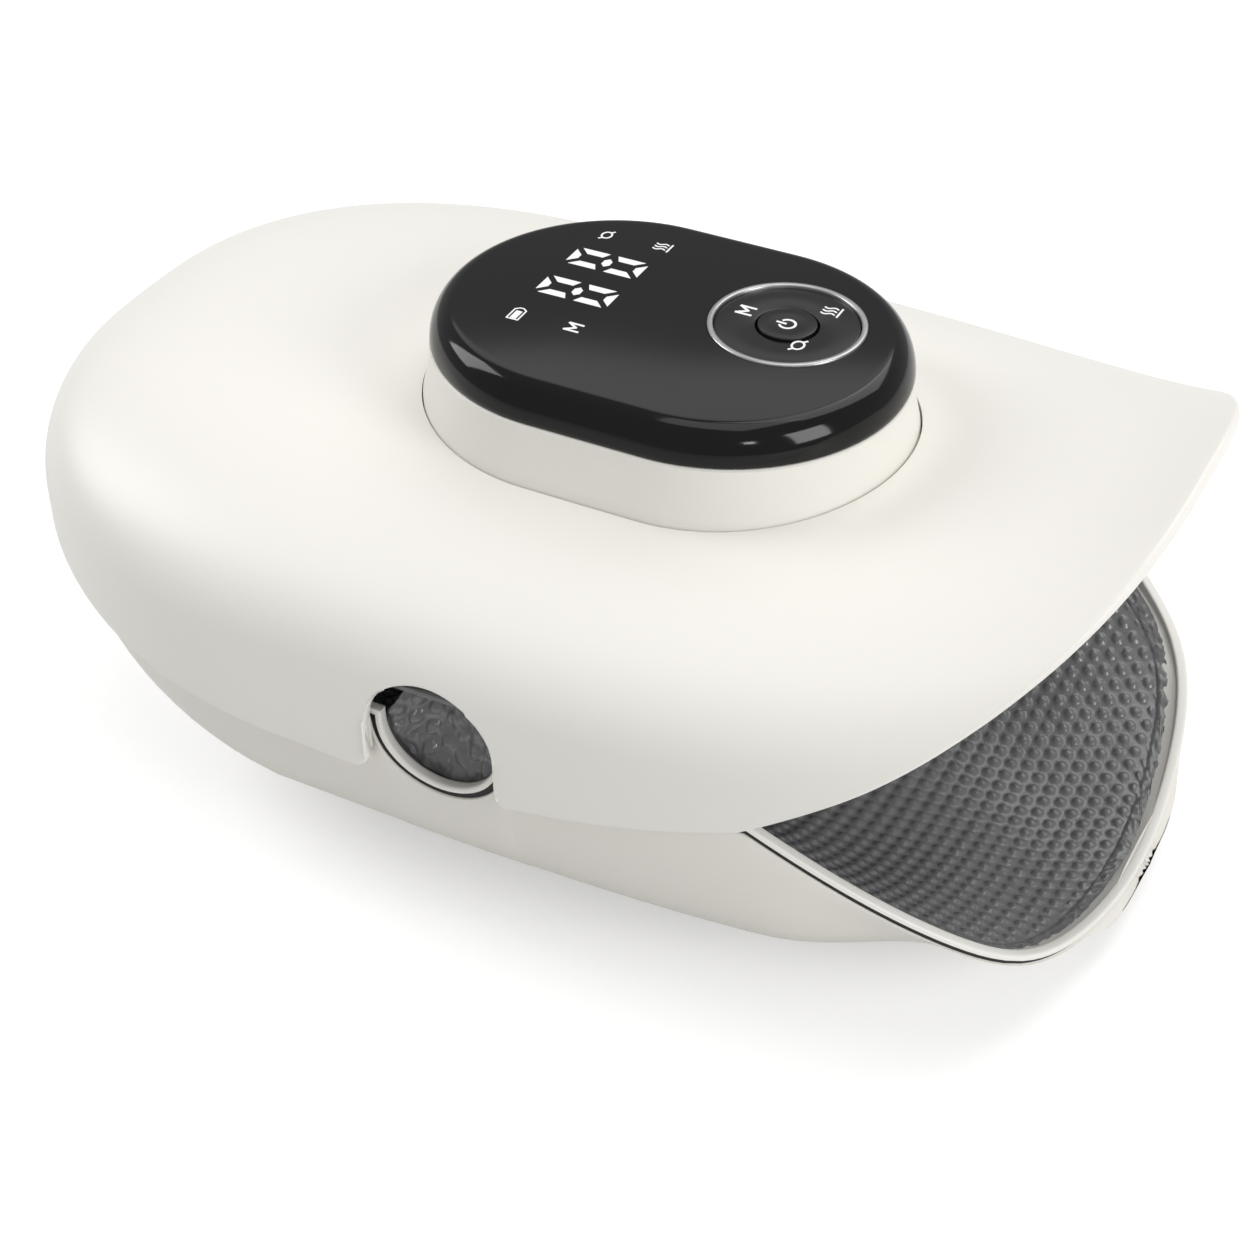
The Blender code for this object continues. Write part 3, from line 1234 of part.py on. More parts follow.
def make_port():
    face = NOSE_X + PORT_RECESS
    back = face + PORT_LENGTH
    inner = PORT_RADIUS - PORT_WALL
    loops = [port_loop(inner, back - PORT_WALL), port_loop(inner, face), port_loop(PORT_RADIUS, face),
             port_loop(PORT_RADIUS, back)]
    port = stack("charging_port", loops, METAL)
    tongue = block("port_tongue", (PORT_LENGTH - PORT_RECESS, 2 * PORT_HALF_STRAIGHT, PORT_TONGUE_HEIGHT),
                   (back - (PORT_LENGTH - PORT_RECESS) / 2, 0, PORT_Z), BLACK, CUTTERS)
    join(port, tongue)
    high = PORT_Z - PORT_RADIUS - FIT
    start = face + 2 * UPPER_WALL
    board = block("charge_board", (CHARGE_BOARD_LENGTH, CHARGE_BOARD_WIDTH, CHARGE_BOARD_THICKNESS),
                  (start + CHARGE_BOARD_LENGTH / 2, 0, high - CHARGE_BOARD_THICKNESS / 2), BOARD)
    return board


def make_feet():
    for number, (x, y) in enumerate(foot_places(), 1):
        rounded(rod(f"rubber_foot_{number}", FOOT_RADIUS, FOOT_HEIGHT, (x, y, FOOT_HEIGHT / 2), RUBBER), FIT, 1)
        top = RECESS_TOP_Z - FIT
        screw = rod(f"base_screw_{number}", SCREW_HEAD_RADIUS, SCREW_HEAD_HEIGHT, (x, y, top - SCREW_HEAD_HEIGHT / 2),
                    METAL, sides=ROUND_SIDES)
        shank = rod(f"screw_shank_{number}", SCREW_RADIUS, SCREW_LENGTH + SCREW_HEAD_HEIGHT / 2,
                    (x, y, top + SCREW_LENGTH / 2 - SCREW_HEAD_HEIGHT / 4), METAL, sides=12, collection=CUTTERS)
        join(screw, shank)


make_upper_shell()
make_lower_shell()
make_rim_trim()
make_rim_gasket()
make_upper_liner()
make_upper_pad()
make_lower_pad()
make_lower_liner()
make_airbags()
make_console()
make_keys()
make_bulkhead()
make_pump()
make_battery()
make_air_line()
make_port()
make_feet()
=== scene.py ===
# %% [markdown]
# # A hand massager on a pale studio floor
# The object is a clam-shaped housing that closes round a hand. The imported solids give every
# size and every joint, so they are loaded first and never moved. This lesson then makes the
# fine outer skins, the padded linings and the lit signs that the solids only sketch.

# %% Load the frame
from math import asin, copysign, cos, hypot, pi, radians, sin, sqrt, tau

import bmesh
import bpy
import numpy as np
from mathutils import Matrix, Vector
from mathutils.noise import noise


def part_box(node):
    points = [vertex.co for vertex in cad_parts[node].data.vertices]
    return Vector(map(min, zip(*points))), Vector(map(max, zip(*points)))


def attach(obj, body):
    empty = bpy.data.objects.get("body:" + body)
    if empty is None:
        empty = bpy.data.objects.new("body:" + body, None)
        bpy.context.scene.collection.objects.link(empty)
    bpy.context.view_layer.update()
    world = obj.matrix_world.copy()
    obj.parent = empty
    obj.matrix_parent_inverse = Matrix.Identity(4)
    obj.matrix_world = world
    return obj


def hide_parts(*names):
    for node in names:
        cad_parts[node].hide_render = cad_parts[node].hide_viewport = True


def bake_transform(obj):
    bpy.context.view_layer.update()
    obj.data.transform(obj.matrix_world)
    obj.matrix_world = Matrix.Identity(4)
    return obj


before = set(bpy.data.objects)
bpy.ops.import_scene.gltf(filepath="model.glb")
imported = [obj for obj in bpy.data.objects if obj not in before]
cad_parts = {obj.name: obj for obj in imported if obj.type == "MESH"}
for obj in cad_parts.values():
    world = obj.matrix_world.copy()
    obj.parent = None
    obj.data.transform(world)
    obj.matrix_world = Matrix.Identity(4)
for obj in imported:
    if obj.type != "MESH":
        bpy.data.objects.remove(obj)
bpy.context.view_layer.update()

# %% [markdown]
# ## The camera
# The photograph looks down at the near long side, a little from the mouth. Its place was found
# by fitting the console and the outline, and it is kept as an angle round the object, an angle
# above the floor and a distance from the middle of the keys, which reads better than a matrix.

# %% Camera
AZIMUTH = radians(27.05)
ELEVATION = radians(37.83)
KEY_X, KEY_Y, CONSOLE_TOP_Z = 0.03555, 0.00708, 0.1130
AIM_RIGHT, AIM_UP, CAMERA_DISTANCE = 0.03270, 0.06179, 0.5093
LENS_MM, SENSOR_MM, CLIP_START = 71.76, 36.0, 0.01


def add_object(name, data):
    item = bpy.data.objects.new(name, data)
    bpy.context.scene.collection.objects.link(item)
    return item


towards_camera = Vector((sin(AZIMUTH) * cos(ELEVATION),
                         -cos(AZIMUTH) * cos(ELEVATION), sin(ELEVATION)))
picture_right = Vector((cos(AZIMUTH), sin(AZIMUTH), 0.0))
picture_up = towards_camera.cross(picture_right)
lens = bpy.data.cameras.new("studio_camera")
lens.lens, lens.sensor_width, lens.clip_start = LENS_MM, SENSOR_MM, CLIP_START
camera = add_object("studio_camera", lens)
turn = Matrix((picture_right, picture_up, towards_camera)).transposed().to_4x4()
key_centre = Vector((KEY_X, KEY_Y, CONSOLE_TOP_Z))
turn.translation = (key_centre - AIM_RIGHT * picture_right - AIM_UP * picture_up
                    + CAMERA_DISTANCE * towards_camera)
camera.matrix_world = turn
bpy.context.scene.camera = camera
print("camera at", [round(value, 3) for value in turn.translation])

# %% [markdown]
# ## One shared grain for all finishes
# No moulded surface is one flat value: its gloss drifts over the part and its skin has a very
# fine texture. Each material could have its own noise, but then a change means many edits. One
# node group holds the noises, and each material gives it its own scale, depth and shades.

# %% Grain group
MIX_FIRST, MIX_SECOND, MIX_RESULT = 6, 7, 2  # the Mix node's colour sockets, by number

grain = bpy.data.node_groups.new("moulded_grain", "ShaderNodeTree")
for title, kind, value in (("Colour", "Color", (0.8, 0.8, 0.8, 1.0)),
                           ("Shade", "Color", (0.7, 0.7, 0.7, 1.0)), ("Gloss Low", "Float", 0.3),
                           ("Gloss High", "Float", 0.4), ("Patch Scale", "Float", 20.0),
                           ("Grain Scale", "Float", 1500.0)):
    entry = grain.interface.new_socket(name=title, in_out="INPUT", socket_type="NodeSocket" + kind)
    entry.default_value = value
for title, kind in (("Colour", "Color"), ("Gloss", "Float"), ("Height", "Float")):
    grain.interface.new_socket(name=title, in_out="OUTPUT", socket_type="NodeSocket" + kind)


def fill(node, settings):
    """A node's inputs and its own settings, given by name."""
    for key, value in settings.items():
        if isinstance(value, (int, float, tuple)) and key in node.inputs:
            node.inputs[key].default_value = value
        else:
            setattr(node, key, value)
    return node


def add_node(tree, kind, **settings):
    return fill(tree.nodes.new(kind), settings)


def join(tree, *links):
    """Links, each one given as a node, its output, the next node and its input."""
    for source, output, target, entry in links:
        tree.links.new(source.outputs[output], target.inputs[entry])


group_in = add_node(grain, "NodeGroupInput")
group_out = add_node(grain, "NodeGroupOutput")
where = add_node(grain, "ShaderNodeTexCoord")
patch_noise = add_node(grain, "ShaderNodeTexNoise", Detail=3.0)
pore_noise = add_node(grain, "ShaderNodeTexNoise", Detail=2.0)
tone = add_node(grain, "ShaderNodeMix", data_type="RGBA")
drift = add_node(grain, "ShaderNodeMapRange")
join(grain, (where, "Object", patch_noise, "Vector"), (where, "Object", pore_noise, "Vector"),
     (group_in, "Patch Scale", patch_noise, "Scale"),
     (group_in, "Grain Scale", pore_noise, "Scale"), (patch_noise, "Fac", tone, 0),
     (group_in, "Colour", tone, MIX_FIRST), (group_in, "Shade", tone, MIX_SECOND),
     (patch_noise, "Fac", drift, "Value"), (group_in, "Gloss Low", drift, "To Min"),
     (group_in, "Gloss High", drift, "To Max"), (tone, MIX_RESULT, group_out, "Colour"),
     (drift, "Result", group_out, "Gloss"), (pore_noise, "Fac", group_out, "Height"))
print("grain nodes", len(grain.nodes))

# %% [markdown]
# ### Finishes
# Each finish is two shades, the two ends of its roughness, the scales of its patches and pores
# and the depth of its relief in metres. Two close shades keep a moulded part from looking flat.


# %% Finishes
def finish(name, colour, shade, rough, patches=20.0, pores=1500.0, relief=2e-5, metallic=0.0,
           specular=0.5):
    """A Principled material whose colour, gloss and fine relief come from the shared grain."""
    material = bpy.data.materials.new(name)
    material.use_nodes = True
    tree = material.node_tree
    shader = fill(tree.nodes["Principled BSDF"],
                  {"Metallic": metallic, "Specular IOR Level": specular})
    body = add_node(tree, "ShaderNodeGroup", node_tree=grain, Colour=(*colour, 1.0),
                    Shade=(*shade, 1.0), **{"Gloss Low": rough[0], "Gloss High": rough[1],
                                            "Patch Scale": patches, "Grain Scale": pores})
    bump = add_node(tree, "ShaderNodeBump", Strength=1.0, Distance=relief)
    join(tree, (body, "Colour", shader, "Base Color"), (body, "Gloss", shader, "Roughness"),
         (body, "Height", bump, "Height"), (bump, "Normal", shader, "Normal"))
    return material


def grey(value):
    return (value, value, value)


IVORY = finish("ivory_upper", (0.840, 0.822, 0.772), (0.828, 0.808, 0.757), (0.36, 0.44),
               9.0, 2600.0, 4e-6)
# The lower housing is the same ivory as the upper, painted a little darker as shade because it
# faces away from the light.
IVORY_PAINTED_SHADE = finish("ivory_lower_painted_shade", (0.800, 0.778, 0.722), (0.785, 0.762, 0.705), (0.40, 0.48),
                     9.0, 2600.0, 4e-6)
IVORY_TRIM = finish("ivory_trim", (0.850, 0.832, 0.785), (0.838, 0.818, 0.768), (0.28, 0.36),
                    12.0, 2600.0, 3e-6)
PANEL_BLACK = finish("panel_black", grey(0.004), grey(0.006), (0.08, 0.11), 30.0, 900.0, 4e-7,
                     specular=0.30)
KEY_BLACK = finish("key_black", grey(0.006), grey(0.009), (0.20, 0.26), 60.0, 3000.0, 1e-6,
                   specular=0.32)
MATT_BLACK = finish("matt_black", grey(0.018), grey(0.030), (0.50, 0.62), 40.0, 1800.0, 1e-5)
GASKET_BLACK = finish("gasket_black", grey(0.008), grey(0.014), (0.55, 0.70), 60.0, 2500.0)
SILVER = finish("bezel_silver", grey(0.42), grey(0.50), (0.26, 0.34), 90.0, 4000.0, 2e-6, 0.9)
print("finishes so far", len(bpy.data.materials))

# %% [markdown]
# ## The hull as formulas
# The two housings are one smooth body that is cut along a seam. A hand-drawn cage of control
# points would be quick, but the skins must lie on the solids within a fraction of a millimetre.
# So the same formulas that shaped the solids are written again here, in metres, and the skins
# are only read off more closely.

# %% Hull sizes
NOSE_X, WIDEST_X, CORNER_X, VISOR_X, TIP_X = -0.1270, -0.0390, 0.0668, 0.1260, 0.1270
NOSE_TO_WIDEST, HALF_WIDTH, MOUTH_NARROWING = 0.0880, 0.0850, 0.0246
EQUATOR_Z, CROWN_Z, VISOR_Z, KEEL_Z = 0.0680, 0.0919, 0.1095, 0.0018
TIP_Z, CORNER_Z, SEAM_NOSE_Z, SEAM_MIDDLE_Z = 0.0105, 0.0571, 0.0617, 0.0441
PLAN_POWERS, CROWN_POWERS, KEEL_POWERS = (2.21, 2.48), (4.10, 3.70), (1.70, 1.60)
SIDE_POWERS, TUCKED_POWERS, TONGUE_POWERS = (3.87, 2.71), (2.0, 1.6), (14.0, 1.9)
SECTION_POWERS, SECTION_SOFTENING, FLANK_SHARE = (2.30, 3.11), 0.17, 0.22
NARROWING_POWER, VISOR_POWER, KEEL_RISE_POWER = 4.00, 5.35, 3
TONGUE_TURN, TUCK_LENGTH, MOUTH_SLANT_SHARE = 0.0260, 0.0450, 0.50
UPPER_WALL, LOWER_WALL, SHELL_LAP, SLACK = 0.0024, 0.0020, 0.0036, 0.0005
THUMB_X, THUMB_Z, THUMB_RADIUS = 0.0017, 0.0563, 0.0130
SEAM_MIDDLE_FROM_NOSE, SEAM_NOSE_SHARE = 0.1046, 0.14
SEAM_PLACES = ((NOSE_X + SEAM_MIDDLE_FROM_NOSE * SEAM_NOSE_SHARE, SEAM_NOSE_Z),
               (NOSE_X + SEAM_MIDDLE_FROM_NOSE, SEAM_MIDDLE_Z), (CORNER_X, CORNER_Z))
PAST_VISOR_SHARE, PAST_VISOR_X = 1.2, VISOR_X + 0.005
SLOPE_STEP, TINY = 1e-5, 1e-6
print("hull from", NOSE_X, "to", TIP_X, "and", 2 * HALF_WIDTH, "wide")

# %% [markdown]
# ### Its formulas
# Circles with other powers than two give each outline, in plan, from the side and across. The
# seam between the housings is a parabola, so three heights set it.


# %% Hull formulas
def mix(first, second, share):
    return first + (second - first) * share


def clamp(value):
    return min(max(value, 0.0), 1.0)


def smooth(share):
    share = clamp(share)
    return share * share * (3 - 2 * share)


def quarter(steps):
    return [pi / 2 * step / steps for step in range(steps + 1)]


def squircle(share, powers):
    return (1.0 - clamp(share) ** powers[0]) ** (1.0 / powers[1])


def mouthward(x):
    return min(max((x - WIDEST_X) / (VISOR_X - WIDEST_X), 0.0), PAST_VISOR_SHARE)


def half_width(x, inset=0.0):
    if x < WIDEST_X:
        share = (WIDEST_X - x) / (NOSE_TO_WIDEST - inset)
        return (HALF_WIDTH - inset) * squircle(share, PLAN_POWERS)
    return HALF_WIDTH - inset - MOUTH_NARROWING * mouthward(x) ** NARROWING_POWER


def crown(x, inset=0.0):
    if x < WIDEST_X:
        share = (WIDEST_X - x) / (NOSE_TO_WIDEST - inset)
        return EQUATOR_Z + (CROWN_Z - inset - EQUATOR_Z) * squircle(share, CROWN_POWERS)
    return CROWN_Z - inset + (VISOR_Z - CROWN_Z) * mouthward(x) ** VISOR_POWER


def keel(x, inset=0.0):
    if x < WIDEST_X:
        share = (WIDEST_X - x) / (NOSE_TO_WIDEST - inset)
        return EQUATOR_Z - (EQUATOR_Z - KEEL_Z) * squircle(share, KEEL_POWERS)
    turned = (x - (TIP_X + SHELL_LAP - inset - TONGUE_TURN)) / TONGUE_TURN
    return KEEL_Z + (TIP_Z - KEEL_Z) * max(turned, 0.0) ** KEEL_RISE_POWER


def seam(x):
    """The upper shell's lower edge: a parabola through three heights, never under the keel."""
    height = 0.0
    for index, (own, level) in enumerate(SEAM_PLACES):
        part = level
        for other, _ in SEAM_PLACES[:index] + SEAM_PLACES[index + 1:]:
            part *= (x - other) / (own - other)
        height += part
    return max(height, keel(x))


def mouth_x(z):
    """The mouth's edge from the side: steep under the visor, flatter towards the corner."""
    fall = (VISOR_Z - z) / (VISOR_Z - CORNER_Z)
    return VISOR_X - (VISOR_X - CORNER_X) * (fall + fall * fall) * MOUTH_SLANT_SHARE


def hull_section(x, turned, inset=0.0, edge=None):
    """Place across and height on the upper hull, at a turn from -1, the near edge, to 1."""
    away = abs(turned)
    width, rise = half_width(x, inset), crown(x, inset) - EQUATOR_Z
    low = seam(x) if edge is None else edge
    high_power, wide_power = (power - SECTION_SOFTENING * mouthward(x) for power in SECTION_POWERS)
    if away <= 1 - FLANK_SHARE or low >= EQUATOR_Z:
        start = asin(clamp((low - EQUATOR_Z) / max(rise, TINY)) ** (high_power / 2))
        angle = mix(pi / 2, start, min(away / (1 - FLANK_SHARE), 1.0))
        y = width * cos(angle) ** (2 / wide_power) if away > 0 else 0.0
        z = EQUATOR_Z + rise * sin(angle) ** (2 / high_power)
    else:
        z = mix(EQUATOR_Z, low, (away - 1 + FLANK_SHARE) / FLANK_SHARE)
        y = width * squircle((EQUATOR_Z - z) / max(EQUATOR_Z - keel(x, inset), TINY), SIDE_POWERS)
    return copysign(y, turned), z


def meeting(low, high, before):
    """The place between low and high where a test stops being true."""
    for _ in range(40):
        x = (low + high) / 2
        if before(x):
            low = x
        else:
            high = x
    return low


print("seam height over the thumb", round(seam(THUMB_X), 4))

# %% [markdown]
# ## Mesh helpers
# Most outer pieces are thin walls with a rounded lip at their edges. A Solidify modifier would
# leave sharp rims that catch no light. This helper thickens any grid of points itself and turns
# a small round lip along every open edge, so the edge highlight of moulded plastic is real.

# %% Thick skin
WELD = 2e-6


def show(name, shape, material, angle=35):
    """An object from a bmesh, shaded smooth but for edges sharper than an angle in degrees."""
    mesh = bpy.data.meshes.new(name)
    shape.to_mesh(mesh)
    shape.free()
    piece = add_object(name, mesh)
    mesh.materials.append(material)
    mesh.shade_smooth()
    mesh.set_sharp_from_angle(angle=radians(angle))
    return piece


def thick_skin(name, rows, wall, lip, material, steps=3):
    """A wall under a grid of points whose normals look outwards, with a lip on its open edges."""
    shape = bmesh.new()
    grid = [[shape.verts.new(point) for point in row] for row in rows]
    for row, after in zip(grid, grid[1:]):
        for j in range(len(row) - 1):
            shape.faces.new((row[j], after[j], after[j + 1], row[j + 1]))
    bmesh.ops.remove_doubles(shape, verts=shape.verts, dist=WELD)
    bmesh.ops.dissolve_degenerate(shape, edges=shape.edges, dist=WELD)
    shape.normal_update()
    outer = list(shape.verts)
    faces = list(shape.faces)
    normals = {corner: corner.normal.copy() for corner in outer}
    outwards, open_edges = {}, []
    for edge in shape.edges:
        if len(edge.link_faces) == 1:
            face = edge.link_faces[0]
            loop = next(item for item in face.loops if item.edge == edge)
            first, second = loop.vert, loop.link_loop_next.vert
            away = (second.co - first.co).normalized().cross(face.normal)
            open_edges.append((first, second))
            for corner in (first, second):
                outwards[corner] = outwards.get(corner, Vector()) + away
    round_lip = [(sin(angle) - 1, 1 - cos(angle)) for angle in quarter(steps)]
    chains = {}
    for corner, away in outwards.items():
        away.normalize()
        start, normal = corner.co.copy(), normals[corner]
        chains[corner] = [start + lip * out * away - lip * down * normal
                          for out, down in round_lip]
        chains[corner] += [start + lip * out * away - (wall - lip * down) * normal
                           for out, down in reversed(round_lip)]
    inner = {}
    for corner in outer:
        place = chains[corner][-1] if corner in chains else corner.co - wall * normals[corner]
        inner[corner] = shape.verts.new(place)
    strips = {}
    for corner, chain in chains.items():
        corner.co = chain[0]
        between = [shape.verts.new(place) for place in chain[1:-1]]
        strips[corner] = [corner] + between + [inner[corner]]
    for face in faces:
        shape.faces.new([inner[corner] for corner in reversed(face.verts)])
    for first, second in open_edges:
        near, far = strips[first], strips[second]
        for step in range(len(near) - 1):
            shape.faces.new((far[step], near[step], near[step + 1], far[step + 1]))
    return show(name, shape, material)


print("lips are turned in", len(quarter(3)) - 1, "steps")

# %% [markdown]
# ### Swept bodies and cuts
# Trim, cover and keys are bodies through a stack of closed loops. All openings of a piece are
# cut at once, so that its mesh is only worked out one time.

# %% Bodies and cuts
CUT_SHARP = radians(30)


def ring_body(name, loops, material, ring=True, angle=35):
    """A body through closed loops. A ring joins the last to the first, others are capped."""
    shape = bmesh.new()
    rings = [[shape.verts.new(point) for point in loop] for loop in loops]
    count = len(loops[0])
    for i in range(len(rings) if ring else len(rings) - 1):
        after = rings[(i + 1) % len(rings)]
        for j in range(count):
            k = (j + 1) % count
            shape.faces.new((rings[i][j], rings[i][k], after[k], after[j]))
    if not ring:
        shape.faces.new(list(reversed(rings[0])))
        shape.faces.new(rings[-1])
    bmesh.ops.remove_doubles(shape, verts=shape.verts, dist=WELD)
    bmesh.ops.recalc_face_normals(shape, faces=shape.faces)
    return show(name, shape, material, angle)


def carve(piece, *cutters):
    """Cut closed bodies out of a piece at once, and keep its smooth shading."""
    for cutter in cutters:
        change = piece.modifiers.new("cut", "BOOLEAN")
        change.object = cutter
    graph = bpy.context.evaluated_depsgraph_get()
    mesh = bpy.data.meshes.new_from_object(piece.evaluated_get(graph))
    piece.modifiers.clear()
    material = piece.data.materials[0]
    piece.data = mesh
    mesh.materials.clear()
    mesh.materials.append(material)
    for polygon in mesh.polygons:
        polygon.material_index = 0
    mesh.shade_smooth()
    mesh.set_sharp_from_angle(angle=CUT_SHARP)
    for cutter in cutters:
        bpy.data.objects.remove(cutter, do_unlink=True)


print("helpers ready")

# %% [markdown]
# ## Upper shell
# The ivory upper housing sweeps from the round nose to a thin visor. Each side has an arch for
# the thumb. The arch could be cut with a Boolean, but its lip should be round, so the rows of
# points simply end on the arch instead: over the thumb hole the flank is shorter.

# %% Upper shell
NOTCH_RADIUS, LEAD_IN, SHELL_LIP, HAIR = 0.0145, 0.0040, 0.0007, 0.00002
PAST_HOLE_X = THUMB_X + NOTCH_RADIUS + LEAD_IN + 0.0015
TURN_STEPS, NOSE_ROWS, ARCH_ROWS, LEAD_ROWS, MOUTH_ROWS = 112, 30, 16, 7, 46
NOSE_CROWDING = 1.3
TURNS = [2 * step / TURN_STEPS - 1 for step in range(TURN_STEPS + 1)]


def shell_edge(x):
    """Height of the upper shell's lower edge, over the thumb arch as well."""
    beside = abs(x - THUMB_X)
    if beside < NOTCH_RADIUS:
        return THUMB_Z + sqrt(NOTCH_RADIUS ** 2 - beside ** 2)
    out = (beside - NOTCH_RADIUS) / LEAD_IN
    if out < 1:
        return mix(seam(THUMB_X), seam(x), out) + LEAD_IN * (1 - sqrt(1 - (1 - out) ** 2))
    return seam(x)


def hole_stations():
    """Places along X over the thumb hole, close together where its sides stand upright."""
    beside = [NOTCH_RADIUS * sin(angle) for angle in quarter(ARCH_ROWS)[:-1]]
    beside += [NOTCH_RADIUS - HAIR, NOTCH_RADIUS + HAIR]
    beside += [NOTCH_RADIUS + LEAD_IN * (1 - cos(angle)) for angle in quarter(LEAD_ROWS)[1:]]
    return sorted({THUMB_X + side * value for value in beside for side in (-1, 1)})


angles = [pi / 2 * (step / NOSE_ROWS) ** NOSE_CROWDING for step in range(NOSE_ROWS)]
stations = [WIDEST_X - NOSE_TO_WIDEST * cos(angle) ** (2 / PLAN_POWERS[0])
            for angle in angles]
stations += [WIDEST_X] + hole_stations() + [PAST_HOLE_X]
rows = [[(x, *hull_section(x, turned, 0.0, shell_edge(x))) for turned in TURNS]
        for x in stations]
ends = [meeting(WIDEST_X, PAST_VISOR_X, lambda x: x < mouth_x(hull_section(x, turned)[1]))
        for turned in TURNS]
for step in range(1, MOUTH_ROWS + 1):
    places = [mix(PAST_HOLE_X, end, step / MOUTH_ROWS) for end in ends]
    rows.append([(x, *hull_section(x, turned)) for x, turned in zip(places, TURNS)])
upper_shell = thick_skin("upper_shell_skin", rows, UPPER_WALL, SHELL_LIP, IVORY)
print("upper shell rows", len(rows))

# %% [markdown]
# ### Its openings
# The console and the charging port sit in openings with two straight sides and two round ends.
# Both lie well inside the shell, where a sharp edge is covered, so here a Boolean is enough.

# %% Console and port openings
CONSOLE_X, HALF_STRAIGHT, PANEL_RADIUS, WALL_FLARE = 0.0125, 0.01284, 0.0388, 0.0019
OPENING_GAP, CONSOLE_CUT = 0.00028, (0.0750, 0.1200)
PORT_RADIUS, PORT_HALF_STRAIGHT, PORT_Z = 0.0019, 0.0029, 0.0710
PORT_CUT = (NOSE_X - 0.005, NOSE_X + 0.005)


def stadium(half_straight, radius, steps):
    """A loop with two round ends about the origin, as places along and across."""
    loop = []
    for side in (1, -1):
        for step in range(steps + 1):
            angle = pi * step / steps - pi / 2
            loop.append((side * (half_straight + radius * cos(angle)),
                         side * radius * sin(angle)))
    return loop


def console_loop(radius, height):
    return [(CONSOLE_X + along, y, height) for along, y in stadium(HALF_STRAIGHT, radius, 48)]


def port_loop(x):
    return [(x, y, PORT_Z + up) for y, up in stadium(PORT_HALF_STRAIGHT, PORT_RADIUS, 12)]


opening = PANEL_RADIUS + WALL_FLARE + OPENING_GAP
carve(upper_shell,
      ring_body("console_opening", [console_loop(opening, z) for z in CONSOLE_CUT], IVORY,
                ring=False),
      ring_body("port_opening", [port_loop(x) for x in PORT_CUT], IVORY, ring=False))
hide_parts("upper_shell")
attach(upper_shell, "housing")
print("upper shell faces", len(upper_shell.data.polygons))

# %% [markdown]
# ## Lower shell, trim and gasket
# The lower housing is a tub whose edge runs level along the sides, dips round each thumb hole
# and slopes down the tongue. Its trim could be a bevelled curve, but the bevel twists in the
# tight dips, so trim and gasket are swept as loops at fixed offsets from the rim line.

# %% Rim formulas
RIM_NOSE_Z, RIM_NOSE_RISE, RIM_RISE_LENGTH = 0.0600, 0.0068, 0.0300
TONGUE_SLOPE_SHARE, TONGUE_DISH = 0.545, 0.0132
NOSE_STEPS, HOLE_STEPS, FLANK_STEPS, TONGUE_STEPS, TIP_STEPS = 34, 28, 12, 22, 30
TIP_START, TIP_CROWDING = 0.80, 0.8


def tub_width(x, inset=SHELL_LAP):
    if x < CORNER_X:
        return half_width(x, inset)
    share = (x - CORNER_X) / (TIP_X - CORNER_X - (inset - SHELL_LAP))
    return half_width(x, inset) * squircle(share, TONGUE_POWERS)


def rim_level(x):
    """Height of the lower edge without its thumb holes: up at the nose, down at the tongue."""
    level = mix(RIM_NOSE_Z, CORNER_Z - SLACK, clamp((x - NOSE_X) / (CORNER_X - NOSE_X)))
    level += RIM_NOSE_RISE * smooth(1 - (x - NOSE_X) / RIM_RISE_LENGTH)
    if x > CORNER_X:
        across = tub_width(x) / tub_width(CORNER_X)
        level -= TONGUE_SLOPE_SHARE * (x - CORNER_X) + TONGUE_DISH * (1 - across * across)
        level = max(level, TIP_Z)
    return level


def rim(x, below=0.0):
    """Height of the lower edge, or of a line below it, round the thumb holes as well."""
    level = rim_level(x) - below
    beside = abs(x - THUMB_X)
    if beside < THUMB_RADIUS + below:
        return min(level, THUMB_Z - sqrt((THUMB_RADIUS + below) ** 2 - beside ** 2))
    return level


def rim_width(x):
    depth = EQUATOR_Z - keel(min(x, CORNER_X), SHELL_LAP)
    return tub_width(x) * squircle((EQUATOR_Z - rim(x)) / max(depth, TINY), SIDE_POWERS)


NOSE_END_X = meeting(NOSE_X + SHELL_LAP, WIDEST_X, lambda x: keel(x, SHELL_LAP) > rim(x))


def rim_stations(below=0.0):
    """Places along X: close together at the nose, through the thumb holes and round the tip."""
    places = []
    for step in range(NOSE_STEPS):
        angle = pi / 2 * (step / NOSE_STEPS) ** NOSE_CROWDING
        reach = (WIDEST_X - NOSE_END_X) * cos(angle) ** (2 / PLAN_POWERS[0])
        places.append(WIDEST_X - reach)
    radius = THUMB_RADIUS + below
    places += [THUMB_X - radius * cos(pi * step / HOLE_STEPS)
               for step in range(HOLE_STEPS + 1)]
    places += [mix(places[-1], CORNER_X, step / FLANK_STEPS) for step in range(1, FLANK_STEPS)]
    places += [mix(CORNER_X, TIP_X, TIP_START * step / TONGUE_STEPS)
               for step in range(TONGUE_STEPS)]
    power = TONGUE_POWERS[0] / 2
    start = asin(TIP_START ** power)
    for step in range(TIP_STEPS + 1):
        angle = mix(start, pi / 2, (step / TIP_STEPS) ** TIP_CROWDING)
        places.append(CORNER_X + (TIP_X - CORNER_X) * sin(angle) ** (1 / power))
    return places


def rim_line(inset, below=0.0):
    """Half of the line round the lower rim, moved inwards in plan, as x, half width, height."""
    inwards = inset - SHELL_LAP
    places = rim_stations(below)
    line = []
    for x in places:
        slope = (tub_width(x + SLOPE_STEP) - tub_width(x - SLOPE_STEP)) / (2 * SLOPE_STEP)
        length = hypot(slope, 1.0)
        line.append((x + inwards * slope / length, rim_width(x) - inwards / length,
                     rim(x, below)))
    line[0] = (places[0] + inwards, 0.0, rim(places[0], below))
    line[-1] = (places[-1] - inwards, 0.0, rim(places[-1], below))
    return line


